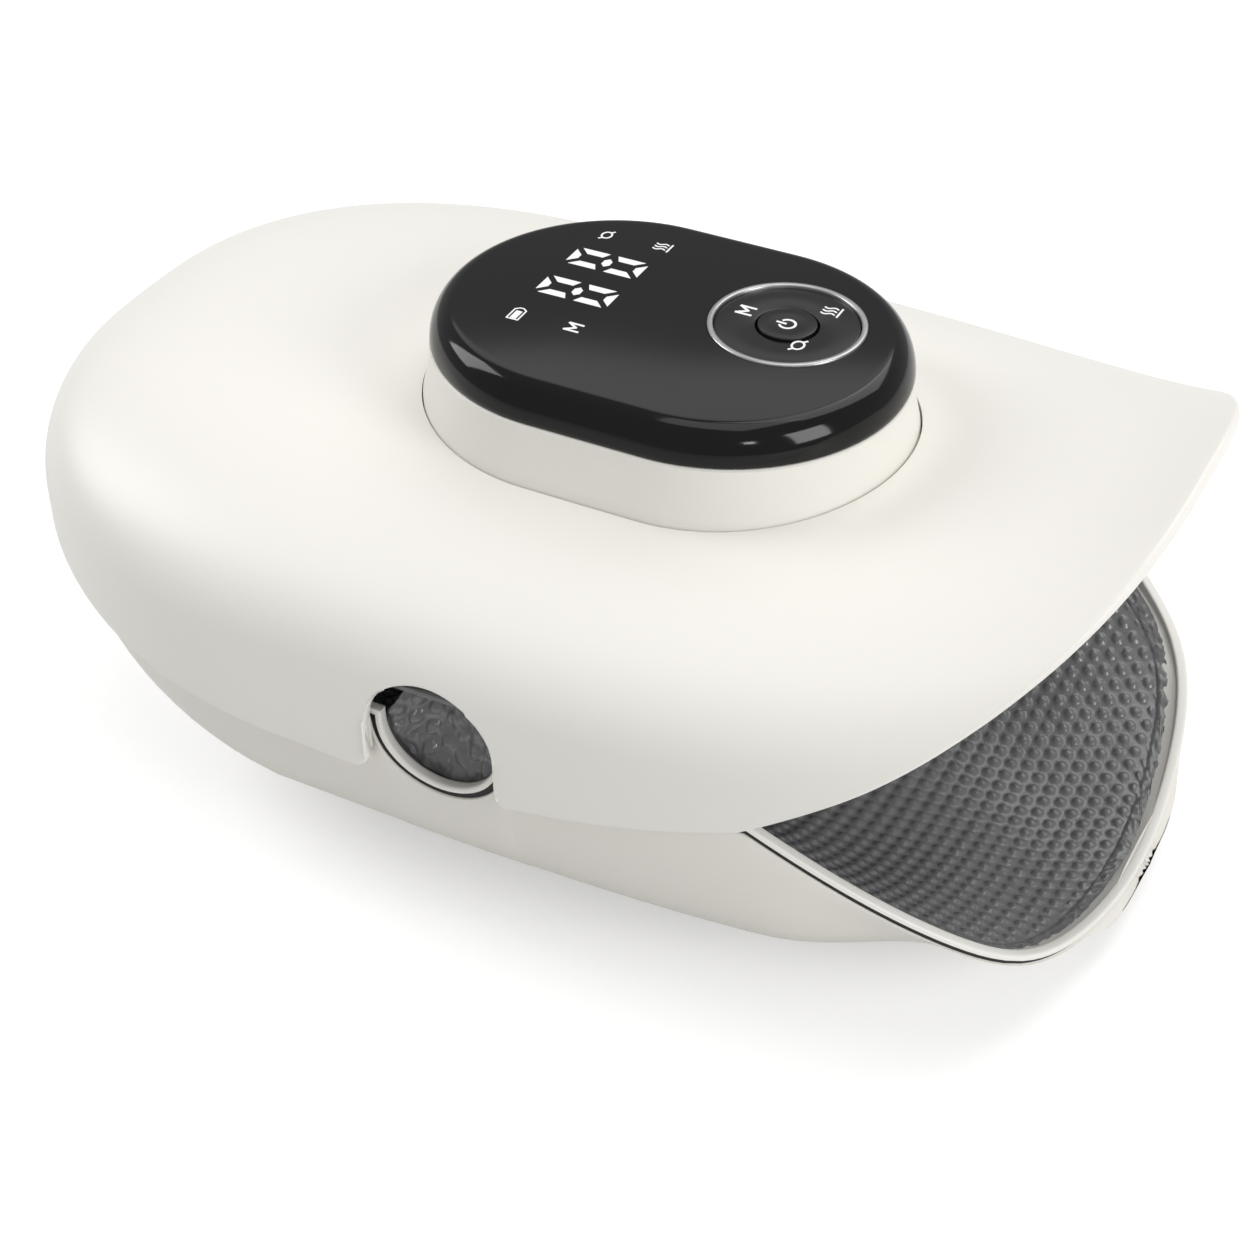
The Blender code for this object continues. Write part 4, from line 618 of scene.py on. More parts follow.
def rim_loop(inset, below):
    line = rim_line(inset, below)
    return [(x, -y, z) for x, y, z in line] + list(reversed(line[1:-1]))


print("rim stations", len(rim_stations()))

# %% [markdown]
# ### The tub
# Each row runs from the far edge down across the keel to the near edge. The same powers as in
# the solids give the full sides and the flat bottom, and twice as many points hide the facets.
# Towards the tip the wall thins out, or it would stand proud of the trim as a beak.

# %% Lower shell
TRIM_HEIGHT, GASKET_HEIGHT = 0.0012, 0.0005
SHELL_TOP_BELOW = TRIM_HEIGHT + GASKET_HEIGHT + 2 * SLACK
SIDE_POINTS, TUB_LIP = 26, 0.0003
TIP_THINNEST, TIP_THINNING = 0.0001, 1.1
FOOT_RADIUS, FOOT_CUT = 0.0034, (-0.002, 0.0058)
FOOT_PLACES = [(x, side * 0.0320) for x in (-0.0450, 0.0850) for side in (-1, 1)]


def tub_row(x, width, edge):
    share = smooth((x - CORNER_X) / TUCK_LENGTH)
    down, out = (mix(full, tucked, share) for full, tucked in zip(SIDE_POWERS, TUCKED_POWERS))
    wall = min(TUB_LIP + LOWER_WALL, TIP_THINNEST + TIP_THINNING * (TIP_X - x))
    depth = EQUATOR_Z - min(keel(x, SHELL_LAP), edge - wall)
    start = asin(min((EQUATOR_Z - edge) / depth, 1.0) ** (down / 2))
    side = []
    for step in range(SIDE_POINTS):
        angle = mix(start, pi / 2, step / SIDE_POINTS)
        spread = (cos(angle) / max(cos(start), TINY)) ** (2 / out)
        side.append((x, width * spread, EQUATOR_Z - depth * sin(angle) ** (2 / down)))
    return side + [(x, 0.0, EQUATOR_Z - depth)] + [(x, -y, z) for x, y, z in reversed(side)]


def disc_loop(x, y, radius, z, sides=40):
    angles = [tau * step / sides for step in range(sides)]
    return [(x + radius * cos(angle), y + radius * sin(angle), z) for angle in angles]


tub_rows = [tub_row(*place) for place in rim_line(SHELL_LAP, SHELL_TOP_BELOW)]
lower_shell = thick_skin("lower_shell_skin", tub_rows, LOWER_WALL, TUB_LIP, IVORY_PAINTED_SHADE)
for corner in lower_shell.data.vertices:
    if corner.co.x > CORNER_X:
        corner.co.z = min(corner.co.z, rim(corner.co.x, SHELL_TOP_BELOW))
carve(lower_shell, *[ring_body("recess", [disc_loop(x, y, FOOT_RADIUS, z) for z in FOOT_CUT],
                               IVORY_PAINTED_SHADE, ring=False) for x, y in FOOT_PLACES])
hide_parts("lower_shell")
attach(lower_shell, "housing")
print("lower shell faces", len(lower_shell.data.polygons))

# %% [markdown]
# ### Trim and gasket
# The trim's profile has two rounded top edges and a short skirt on the inside. The gasket is a
# thin flat band set back under it, so it only shows as a black line.

# %% Trim and gasket
TRIM_WIDTH, TRIM_ROUND, TRIM_STEPS, TRIM_SKIRT, SKIRT_WALL = 0.0025, 0.0006, 4, 0.0024, 0.0009
GASKET_INSET, GASKET_GAP = 0.0005, SLACK * 0.2
inside = SHELL_LAP + TRIM_WIDTH
profile = [(SHELL_LAP, TRIM_HEIGHT)]
profile += [(SHELL_LAP + TRIM_ROUND * (1 - cos(angle)), TRIM_ROUND * (1 - sin(angle)))
            for angle in quarter(TRIM_STEPS)]
profile += [(inside - TRIM_ROUND * (1 - sin(angle)), TRIM_ROUND * (1 - cos(angle)))
            for angle in quarter(TRIM_STEPS)]
profile += [(inside, TRIM_SKIRT), (inside - SKIRT_WALL, TRIM_SKIRT),
            (inside - SKIRT_WALL, TRIM_HEIGHT)]
trim = ring_body("rim_trim_moulding", [rim_loop(*place) for place in profile], IVORY_TRIM,
                 angle=50)
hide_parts("rim_trim")
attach(trim, "housing")

line_top, line_low = TRIM_HEIGHT + GASKET_GAP, SHELL_TOP_BELOW - GASKET_GAP
outside, inside = SHELL_LAP + GASKET_INSET, SHELL_LAP + LOWER_WALL
profile = [(outside, line_low), (outside, line_top), (inside, line_top), (inside, line_low)]
gasket = ring_body("rim_gasket_line", [rim_loop(*place) for place in profile], GASKET_BLACK)
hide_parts("rim_gasket")
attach(gasket, "housing")
print("trim faces", len(trim.data.polygons))

# %% [markdown]
# ## Console
# The console is an ivory wall under a domed black cover. The cover could be a bevelled extrusion,
# but its edge is a quarter of an ellipse, deeper than it is wide, so loops of a stadium shape
# are stacked from the edge to the middle. Many loops keep the reflections in the gloss smooth.

# %% Console wall and cover
PANEL_SAG, EDGE_DROP, EDGE_WIDTH, PANEL_WALL = 0.0004, 0.0080, 0.0054, 0.0020
PANEL_BASE_Z = CONSOLE_TOP_Z - PANEL_SAG - EDGE_DROP
PANEL_EDGE_Z = CONSOLE_TOP_Z - PANEL_SAG
FLAT = PANEL_RADIUS - EDGE_WIDTH
WALL_TOP, WALL_STEP = PANEL_BASE_Z - 0.0003, 0.0001
WALL_THICKNESS, FLARE_POWER, FLARE_STEPS = 0.0024, 1.8, 12
WALL_FOOT_Z, WALL_ROOT_Z, WALL_LEDGE_Z = 0.0845, 0.0922, 0.0925
EDGE_STEPS, DOME_STEPS = 24, 40
BEZEL_RADIUS, BEZEL_GAP, KEY_CUT = 0.0165, 0.00015, (0.1050, 0.1180)

root, face, bevel_z = PANEL_RADIUS + WALL_FLARE, PANEL_RADIUS + WALL_STEP, WALL_TOP - 0.0004
wall_profile = [(face, bevel_z), (PANEL_RADIUS - 0.0003, WALL_TOP),
                (PANEL_RADIUS - WALL_THICKNESS, WALL_TOP), (root - WALL_THICKNESS, WALL_LEDGE_Z),
                (root - WALL_THICKNESS, WALL_FOOT_Z), (root, WALL_FOOT_Z), (root, WALL_ROOT_Z)]
for step in range(1, FLARE_STEPS):
    share = step / FLARE_STEPS
    wall_profile.append((face + (WALL_FLARE - WALL_STEP) * (1 - share) ** FLARE_POWER,
                         mix(WALL_ROOT_Z, bevel_z, share)))
console_wall = ring_body("console_wall_band", [console_loop(*place) for place in wall_profile],
                         IVORY)
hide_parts("console_wall")
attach(console_wall, "housing")

cover_profile = [(FLAT * 0.5, CONSOLE_TOP_Z - PANEL_WALL),
                 (FLAT - PANEL_WALL, CONSOLE_TOP_Z - PANEL_WALL - PANEL_SAG),
                 (PANEL_RADIUS - 0.0030, PANEL_EDGE_Z - EDGE_DROP / 2),
                 (PANEL_RADIUS - PANEL_WALL, PANEL_BASE_Z), (PANEL_RADIUS - 0.0002, PANEL_BASE_Z)]
for step in range(1, EDGE_STEPS + 1):
    angle = pi / 2 * (1 - step / EDGE_STEPS)
    cover_profile.append((FLAT + EDGE_WIDTH * sin(angle),
                          PANEL_EDGE_Z - EDGE_DROP * (1 - cos(angle))))
for step in range(1, DOME_STEPS):
    radius = FLAT * (1 - step / DOME_STEPS)
    cover_profile.append((radius, CONSOLE_TOP_Z - PANEL_SAG * (radius / FLAT) ** 2))
cover = ring_body("touch_panel_cover", [console_loop(*place) for place in cover_profile],
                  PANEL_BLACK, ring=False)
carve(cover, ring_body("key_opening", [disc_loop(KEY_X, KEY_Y, BEZEL_RADIUS + BEZEL_GAP, z, 96)
                                       for z in KEY_CUT], PANEL_BLACK, ring=False))
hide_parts("touch_panel")
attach(cover, "housing")
print("cover faces", len(cover.data.polygons))

# %% [markdown]
# ### Keys
# A silver ring frames a rocking ring of three keys, with a power button in the middle. They are
# turned parts, so a profile is turned round the key's axis. The solids have 32 sides, which
# shows in the silver ring's highlight, so these have 128.

# %% Keys
BEZEL_INNER, BEZEL_TOP, BEZEL_FOOT_Z = BEZEL_RADIUS - 0.0013, CONSOLE_TOP_Z + 0.0003, 0.1105
RING_OUTER, RING_INNER, KEY_TOP = BEZEL_INNER - 0.00018, 0.0066, CONSOLE_TOP_Z - 0.0003
RING_FOOT_Z = KEY_TOP - 0.0026
POWER_RADIUS, POWER_TOP, POWER_DISH = 0.0062, CONSOLE_TOP_Z + 0.0001, 0.0001
FLANGE_RADIUS, FLANGE_LOW_Z, FLANGE_TOP_Z = 0.0074, 0.1091, 0.1099


def turned_body(name, profile, material, ring=True, sides=128):
    loops = [disc_loop(KEY_X, KEY_Y, radius, height, sides) for radius, height in profile]
    return ring_body(name, loops, material, ring, 40)


def soft_edge(radius, top, drop, reach, side=1, bevel=0.0001):
    """A slightly rounded edge from a wall up to the top. The side is -1 round a hole."""
    return [(radius, top - drop), (radius - side * bevel, top - bevel),
            (radius - side * reach, top)]


def hole_edge(radius, top, drop, reach):
    return list(reversed(soft_edge(radius, top, drop, reach, -1)))


bezel = turned_body("bezel_ring_band", [(BEZEL_RADIUS, BEZEL_FOOT_Z)]
                    + soft_edge(BEZEL_RADIUS, BEZEL_TOP, 0.0003, 0.0003)
                    + hole_edge(BEZEL_INNER, BEZEL_TOP, 0.0003, 0.0003)
                    + [(BEZEL_INNER, BEZEL_FOOT_Z)], SILVER)
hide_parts("bezel_ring")
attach(bezel, "housing")

key_ring = turned_body("key_ring_cap", [(RING_OUTER, RING_FOOT_Z)]
                       + soft_edge(RING_OUTER, KEY_TOP, 0.0004, 0.0005)
                       + hole_edge(RING_INNER, KEY_TOP, 0.0004, 0.0004)
                       + [(RING_INNER, RING_FOOT_Z)], KEY_BLACK)
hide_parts("key_ring")
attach(key_ring, "key_ring")

button_profile = [(FLANGE_RADIUS, FLANGE_LOW_Z), (FLANGE_RADIUS, FLANGE_TOP_Z),
                  (POWER_RADIUS, FLANGE_TOP_Z), *soft_edge(POWER_RADIUS, POWER_TOP, 0.0004, 0.0005),
                  (POWER_RADIUS * 0.6, POWER_TOP - POWER_DISH),
                  (POWER_RADIUS * 0.2, POWER_TOP - 2 * POWER_DISH)]
power_button = turned_body("power_button_cap", button_profile, KEY_BLACK, ring=False)
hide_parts("power_button")
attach(power_button, "power_button")
print("keys made")

# %% [markdown]
# ## Lit signs
# The display's figures and the signs on the keys glow white through the black cover. A picture
# texture could carry them, but real shapes stay sharp at any size. So each stroke is a thin
# plate that lies a hair above its surface, with a glowing material.

# %% Glowing plates
PLATE_UNDER, PLATE_OVER = 0.00002, 0.00005

GLOW = bpy.data.materials.new("glow_white")
GLOW.use_nodes = True
lamp = fill(GLOW.node_tree.nodes["Principled BSDF"],
            {"Emission Strength": 1.0, "Roughness": 0.4, "Base Color": (0.05, 0.05, 0.05, 1.0)})
tint = add_node(GLOW.node_tree, "ShaderNodeGroup", node_tree=grain,
                Colour=(0.96, 0.96, 0.95, 1.0), Shade=(0.84, 0.85, 0.85, 1.0),
                **{"Patch Scale": 700.0})
join(GLOW.node_tree, (tint, "Colour", lamp, "Emission Color"))


def cover_height(x, y):
    beyond = max(abs(x - CONSOLE_X) - HALF_STRAIGHT, 0.0)
    return CONSOLE_TOP_Z - PANEL_SAG * min(hypot(beyond, y) / FLAT, 1.0) ** 2


def ring_height(x, y):
    return KEY_TOP


def button_height(x, y):
    beside = hypot(x - KEY_X, y - KEY_Y) / POWER_RADIUS
    return POWER_TOP - 2 * POWER_DISH + POWER_DISH * clamp((beside - 0.2) / 0.4)


def plates(name, shapes, level, body):
    """Thin glowing plates from outlines in plan, lying just above a surface's level."""
    shape = bmesh.new()
    for outline in shapes:
        low = [shape.verts.new((x, y, level(x, y) - PLATE_UNDER)) for x, y in outline]
        high = [shape.verts.new((x, y, level(x, y) + PLATE_OVER)) for x, y in outline]
        shape.faces.new(high)
        shape.faces.new(list(reversed(low)))
        for j in range(len(outline)):
            k = (j + 1) % len(outline)
            shape.faces.new((low[j], low[k], high[k], high[j]))
    bmesh.ops.recalc_face_normals(shape, faces=shape.faces)
    piece = show(name, shape, GLOW)
    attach(piece, body)


print("glow ready")

# %% [markdown]
# ### Signs as strokes
# Each sign is drawn with straight strokes in a frame of its own, one unit high, across to the
# reader's right and up to the top. The two figures are seven slanted bars each, in metres.

# %% Signs
FIGURE_X, FIGURE_PLACES = -0.0087, (-0.0009, 0.0125)
FIGURE_WIDTH, FIGURE_HEIGHT, BAR, SLIT = 0.0072, 0.0168, 0.0019, 0.00095
THIN, STROKE_OVERLAP = 0.13, 0.25


def stroke(points, width):
    """Outlines of a line of given width through points, one for each straight bit."""
    shapes = []
    for (a, b), (c, d) in zip(points, points[1:]):
        length = hypot(c - a, d - b)
        along = ((c - a) / length, (d - b) / length)
        p, q = -along[1] * width / 2, along[0] * width / 2
        u, v = (part * width * STROKE_OVERLAP for part in along)
        shapes.append([(a - u + p, b - v + q), (c + u + p, d + v + q), (c + u - p, d + v - q),
                       (a - u - p, b - v - q)])
    return shapes


def arc(radius, start, end, steps=12, squash=1.0):
    angles = [radians(mix(start, end, step / steps)) for step in range(steps + 1)]
    return [(radius * cos(angle), squash * radius * sin(angle)) for angle in angles]


def figure(middle):
    """The seven bars of a figure eight with slanted ends."""
    w, h, half_bar = FIGURE_WIDTH / 2, FIGURE_HEIGHT / 2, BAR / 2
    end = w - SLIT
    shapes = []
    for up in (h, -h):
        inner_up = up - copysign(BAR, up)
        shapes.append([(-end, up), (end, up), (end - BAR, inner_up), (BAR - end, inner_up)])
    shapes.append([(half_bar - end, 0), (BAR - end, half_bar), (end - BAR, half_bar),
                   (end - half_bar, 0), (end - BAR, -half_bar), (BAR - end, -half_bar)])
    for side in (-1, 1):
        for up in (-1, 1):
            outside, within = side * w, side * (w - BAR)
            shapes.append([(outside, up * SLIT), (outside, up * (h - SLIT)),
                           (within, up * (h - SLIT - BAR)), (within, up * (SLIT + half_bar))])
    return [[(FIGURE_X - up, middle + across) for across, up in outline] for outline in shapes]


SIGNS = {
    "mode": [([(-0.42, -0.5), (-0.42, 0.5), (0.0, -0.15), (0.42, 0.5), (0.42, -0.5)], 0.17)],
    "heat": [([(-0.55, -0.62), (0.55, -0.62)], THIN)] + [
        ([(across + 0.10 * sin(step * tau / 10), -0.38 + 0.92 * step / 10)
          for step in range(11)], 0.12) for across in (-0.36, 0.0, 0.36)],
    "air": [(arc(0.46, -20, 155, squash=0.78), THIN), (arc(0.46, 160, 335, squash=0.78), THIN),
            ([(0.43, -0.12), (0.66, -0.34)], THIN), ([(-0.43, 0.12), (-0.66, 0.34)], THIN)],
    "power": [(arc(0.42, 125, 415, 20), THIN), ([(0.0, 0.08), (0.0, 0.58)], THIN)],
    "battery": [([(-0.8, -0.48), (0.6, -0.48), (0.86, -0.16), (0.86, 0.16), (0.6, 0.48),
                  (-0.8, 0.48), (-0.8, -0.48)], 0.12), ([(-0.56, 0.0), (0.30, 0.0)], 0.52)],
}

plates("display_figures", [bar for middle in FIGURE_PLACES for bar in figure(middle)],
       cover_height, "housing")
for name, sign, cx, cy, size, level, body in (
        ("display_battery", "battery", -0.0156, -0.0143, 0.0027, cover_height, "housing"),
        ("display_mode", "mode", -0.0026, -0.0139, 0.0032, cover_height, "housing"),
        ("display_air", "air", -0.0144, 0.0235, 0.0030, cover_height, "housing"),
        ("display_heat", "heat", -0.0015, 0.0242, 0.0030, cover_height, "housing"),
        ("key_mode_sign", "mode", 0.0256, 0.0085, 0.0034, ring_height, "key_ring"),
        ("key_heat_sign", "heat", 0.0413, 0.0161, 0.0032, ring_height, "key_ring"),
        ("key_air_sign", "air", 0.0407, 0.0008, 0.0034, ring_height, "key_ring"),
        ("power_sign", "power", KEY_X, KEY_Y, 0.0040, button_height, "power_button")):
    outlines = [[(cx - size * up, cy + size * across) for across, up in outline]
                for points, width in SIGNS[sign] for outline in stroke(points, width)]
    plates(name, outlines, level, body)
print("signs made")

# %% [markdown]
# ## Linings
# The lining under the hand is a soft glossy skin with rows of raised dots and a welded, wrinkled
# border. A bump texture would stay flat at its outline, so the dots and wrinkles are real relief:
# a dense grid is read off the lining's form and each point is moved along its normal.

# %% Lining relief
DOT_PITCH, DOT_RADIUS, DOT_HEIGHT, ROW_SHARE = 0.0038, 0.00120, 0.00055, 0.866
DOT_FOOT, DOT_SLOPE, DOT_DOME = 1.15, 0.45, 0.3
BORDER, BORDER_FADE, CREASE_DEPTH = 0.0036, 0.0012, 0.00012
LINING_WALL, LINING_LIP = 0.0010, 0.0002

LINING = finish("lining_grey", (0.172, 0.173, 0.176), (0.150, 0.151, 0.154), (0.15, 0.24),
                160.0, 2200.0, 4e-5, specular=0.6)


def grid_normals(points):
    """Unit normals of a grid of points, looking up."""
    normal = np.cross(np.gradient(points, axis=0), np.gradient(points, axis=1))
    size = np.linalg.norm(normal, axis=2, keepdims=True)
    normal = normal / np.maximum(size, 1e-12)
    normal[size[..., 0] < 1e-12] = (0.0, 0.0, 1.0)
    return normal


def dots(x, y):
    """Height shares of dots in staggered rows: 1 on a dot's middle, 0 between the dots."""
    row = np.round(x / (DOT_PITCH * ROW_SHARE))
    dx = x - row * DOT_PITCH * ROW_SHARE
    shifted = y - (row % 2) * DOT_PITCH / 2
    dy = shifted - np.round(shifted / DOT_PITCH) * DOT_PITCH
    away = np.hypot(dx, dy) / DOT_RADIUS
    edge = np.clip((DOT_FOOT - away) / DOT_SLOPE, 0, 1)
    return edge * edge * (3 - 2 * edge) * (1 - DOT_DOME * np.clip(away, 0, 1) ** 2)


def ripple(points, scale, seed):
    """Even noise at grid points, from -1 to 1."""
    flat = points.reshape(-1, 3)
    values = [noise(Vector((x * scale + seed, y * scale, z * scale))) for x, y, z in flat]
    return np.array(values).reshape(points.shape[:2])


def border_distance(points, outline):
    """Distance in plan of each grid point from an outline."""
    line = np.array(outline)[:, :2]
    flat = points[..., :2].reshape(-1, 2)
    best = np.full(len(flat), 1.0)
    for start, end in zip(line, line[1:]):
        span = end - start
        share = np.clip(((flat - start) @ span) / max(float(span @ span), 1e-14), 0, 1)
        gap = np.linalg.norm(flat - start - share[:, None] * span, axis=1)
        best = np.minimum(best, gap)
    return best.reshape(points.shape[:2])


def bordered(inwards):
    """Shares of the dotted field and of the round bead, from the distance to the edge."""
    field = np.clip((inwards - BORDER) / BORDER_FADE, 0, 1)
    across = np.clip(inwards / BORDER, 0, 1)
    return field, np.sqrt(np.clip(1 - (2 * across - 1) ** 2, 0, 1)) * (inwards < BORDER)


print("a dot every", DOT_PITCH, "m, full")

# %% [markdown]
# ### Lower lining
# The lining hangs from the rim like a shallow dish: high at the sides, low in the middle and
# running down to the tongue's tip. Its rows crowd together where the dots show in the mouth.

# %% Lower lining form
CHAMBER_X, LINER_WALL = NOSE_X + 0.0580, 0.0014
LINING_BACK_X, DENSE_X = CHAMBER_X + 0.0008, 0.0250
CHAMBER_FLOOR_Z, PAD_TIP_Z, PAD_SLOPE_X, PAD_SLOPE_LENGTH = 0.0260, 0.0096, 0.0410, 0.0720
PAD_EDGE_DROP, PAD_GAP, TIP_ROUND, TIP_ROWS = 0.0026, 0.0006, 0.0040, 16
SIDE_DISH, TONGUE_DISH_POWER, DISH_TURN, EDGE_CROWDING = 3.0, 2.0, 0.0340, 1.35
BEAD_HEIGHT, BEAD_WRINKLE, BORDER_ROUGHNESS = 0.00045, 0.00055, 0.00010

pad_edge = [place for place in rim_line(SHELL_LAP + TRIM_WIDTH + PAD_GAP, PAD_EDGE_DROP)
            if place[0] > CHAMBER_X]
edge_x, edge_y, edge_z = np.array(pad_edge).T
tip_x = float(edge_x[-1])
fine, coarse = ((0.00038, 0.0009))
lengths = list(np.arange(LINING_BACK_X, DENSE_X, coarse))
lengths += list(np.arange(DENSE_X, tip_x - TIP_ROUND, fine))
lengths += [tip_x - TIP_ROUND * cos(angle) ** 2 for angle in quarter(TIP_ROWS)]
crowded = np.sin(np.linspace(-1, 1, 315) * EDGE_CROWDING)
shares = crowded / sin(EDGE_CROWDING)
grid = np.zeros((len(lengths), len(shares), 3))
for i, x in enumerate(lengths):
    width, level = (float(np.interp(x, edge_x, values)) for values in (edge_y, edge_z))
    plain = rim_level(x) - PAD_EDGE_DROP if x < CORNER_X else level
    slope = smooth((x - PAD_SLOPE_X) / PAD_SLOPE_LENGTH)
    floor = mix(CHAMBER_FLOOR_Z, PAD_TIP_Z, slope)
    power = mix(SIDE_DISH, TONGUE_DISH_POWER, smooth((x - CORNER_X) / DISH_TURN))
    height = floor + (max(plain, floor) - floor) * np.abs(shares) ** power
    height = np.minimum(height, max(level, floor) if x > CORNER_X else plain)
    height = np.minimum(height, level) if level < plain else height
    grid[i, :, 0], grid[i, :, 1], grid[i, :, 2] = x, width * shares, height

outline = [(x, -y, z) for x, y, z in pad_edge] + list(reversed(pad_edge))
field, bead = bordered(border_distance(grid, outline))
wrinkle = ripple(grid, 480.0, 3.0) * 0.6 + ripple(grid, 1000.0, 9.0) * 0.5
lift = (DOT_HEIGHT * dots(grid[..., 0], grid[..., 1]) * field
        + bead * (BEAD_HEIGHT + BEAD_WRINKLE * wrinkle)
        + CREASE_DEPTH * ripple(grid, 150.0, 17.0) * field
        + BORDER_ROUGHNESS * ripple(grid, 700.0, 31.0) * (1 - field))
grid += grid_normals(grid) * lift[..., None]
print("lower lining grid", grid.shape, "lifted to", round(float(lift.max()) * 1000, 2), "mm")

# %% [markdown]
# ### Its skin
# The grid becomes a thin skin with a small lip, which stands in for the thick solid pad. It
# moves with the lower cushion.

# %% Lower lining skin
lower_lining = thick_skin("lower_lining_skin", grid.tolist(), LINING_WALL, LINING_LIP, LINING, 2)
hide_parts("lower_pad")
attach(lower_lining, "lower_cushion")
print("lower lining faces", len(lower_lining.data.polygons))

# %% [markdown]
# ### Upper lining
# The same skin lines the roof over the hand. It follows the shell out to the mouth, where its
# edge shows as a thin grey line under the visor. It is read off the solids' formulas, and its
# relief points down towards the hand.

# %% Upper lining
CEILING_Z, AIRBAG_HEIGHT, FILM_THICKNESS, FILM_GAP = 0.0765, 0.0066, 0.0005, 0.0009
PAD_THICKNESS, LINING_SIDE_Z, FUNNEL_LENGTH, ROOF_CROWDING = 0.0030, 0.0625, 0.0850, 1.3
ROOF_Z = CEILING_Z - LINER_WALL - AIRBAG_HEIGHT - FILM_THICKNESS - FILM_GAP - PAD_THICKNESS
ROOF_INSET = UPPER_WALL + SLACK + LINER_WALL + SLACK + 0.0026
ROOF_BEAD, ROOF_WRINKLE = 0.00040, 0.00030


def lining_section(x, turned):
    """The hull's section, pressed flat over the chamber and spreading to the full mouth."""
    y, z = hull_section(x, turned, ROOF_INSET)
    open_share = smooth((x - (VISOR_X - FUNNEL_LENGTH)) / FUNNEL_LENGTH)
    low, high = seam(x), crown(x, ROOF_INSET)
    foot = mix(LINING_SIDE_Z, low + SHELL_LAP, open_share)
    top = mix(ROOF_Z, high, open_share)
    return y, foot + (z - low) * (top - foot) / (high - low)


shares = 1 - (1 - np.linspace(0, 1, 240)) ** ROOF_CROWDING
columns = []
for turned in np.linspace(-1, 1, 231):
    end = meeting(CHAMBER_X, PAST_VISOR_X,
                  lambda x: x < mouth_x(lining_section(x, turned)[1]) - LINER_WALL)
    places = [mix(LINING_BACK_X, end, share) for share in shares]
    columns.append([(x, *lining_section(x, turned)) for x in places])
roof = np.array(columns).transpose(1, 0, 2)
inwards = np.linalg.norm(roof - roof[-1][None], axis=2)
for side in (roof[:, :1], roof[:, -1:]):
    inwards = np.minimum(inwards, np.linalg.norm(roof - side, axis=2))
field, bead = bordered(inwards)
lift = (DOT_HEIGHT * dots(roof[..., 0], roof[..., 1]) * field
        + bead * (ROOF_BEAD + ROOF_WRINKLE * ripple(roof, 420.0, 5.0))
        + CREASE_DEPTH * ripple(roof, 150.0, 21.0) * field)
roof -= grid_normals(roof) * lift[..., None]
upper_lining = thick_skin("upper_lining_skin", roof[:, ::-1].tolist(), LINING_WALL, LINING_LIP,
                          LINING, 2)
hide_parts("upper_pad")
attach(upper_lining, "upper_cushion")
print("upper lining faces", len(upper_lining.data.polygons))

# %% [markdown]
# ## Airbags
# Between each lining and the tray behind it lies a flat bladder of welded film that swells to
# press the hand. It could be simulated, but it is hidden and almost empty at rest, so a crowned
# pillow with a thin welded edge is enough.

# %% Airbags
BAG_STEPS, BAG_ROUNDING, BAG_EDGE, BAG_SHRINK = 40, 0.10, 0.25, 0.0001
FILM = finish("airbag_film", (0.30, 0.31, 0.33), (0.24, 0.25, 0.27), (0.30, 0.42), 120.0, 1500.0,
              3e-5)


def airbag(name, node):
    """A crowned pillow inside a solid bladder, between the bladder's top and bottom."""
    low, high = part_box(node)
    middle, half = (low + high) / 2, (high - low) / 2
    solid = np.array([corner.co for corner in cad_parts[node].data.vertices])
    tops, unders = [], []
    for i in range(BAG_STEPS + 1):
        for j in range(BAG_STEPS + 1):
            a, b = 2 * i / BAG_STEPS - 1, 2 * j / BAG_STEPS - 1
            x = middle.x + half.x * a * sqrt(1 - BAG_ROUNDING * b * b)
            y = middle.y + half.y * b * sqrt(1 - BAG_ROUNDING * a * a)
            near = np.argsort((solid[:, 0] - x) ** 2 + (solid[:, 1] - y) ** 2)[:6]
            ceiling, floor = solid[near, 2].max(), solid[near, 2].min()
            full = (1 - a ** 4) * (1 - b ** 4)
            half_gap = (ceiling - floor) / 2 * (BAG_EDGE + (1 - BAG_EDGE) * full ** 0.5)
            level = (ceiling + floor) / 2
            tops.append((x, y, level + half_gap - BAG_SHRINK))
            unders.append((x, y, level - half_gap + BAG_SHRINK))
    shape = bmesh.new()
    size = BAG_STEPS + 1
    upper, lower = ([shape.verts.new(point) for point in side] for side in (tops, unders))
    for i in range(BAG_STEPS):
        for j in range(BAG_STEPS):
            a, b, c, d = ((i + k) * size + j + m for k, m in ((0, 0), (1, 0), (1, 1), (0, 1)))
            shape.faces.new((upper[a], upper[b], upper[c], upper[d]))
            shape.faces.new((lower[d], lower[c], lower[b], lower[a]))
    ring = [i * size for i in range(size)] + [BAG_STEPS * size + j for j in range(1, size)]
    ring += [i * size + BAG_STEPS for i in range(BAG_STEPS - 1, -1, -1)]
    ring += list(range(BAG_STEPS - 1, 0, -1))
    for a, b in zip(ring, ring[1:] + ring[:1]):
        shape.faces.new((upper[a], upper[b], lower[b], lower[a]))
    bmesh.ops.recalc_face_normals(shape, faces=shape.faces)
    bmesh.ops.smooth_vert(shape, verts=shape.verts, factor=0.5, use_axis_z=True)
    piece = show(name, shape, FILM, 60)
    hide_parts(node)
    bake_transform(piece)


airbag("upper_airbag_pillow", "upper_airbag")
airbag("lower_airbag_pillow", "lower_airbag")
print("airbags made")

# %% [markdown]
# ## Thumb webs
# Behind each thumb hole hangs a loose web of the lining. It is gathered to a point near the top
# of the hole and its lower edge is tucked behind the trim, so folds fan out from the gather. A
# cloth simulation could find such folds, but their fan is known, so it is modelled directly.

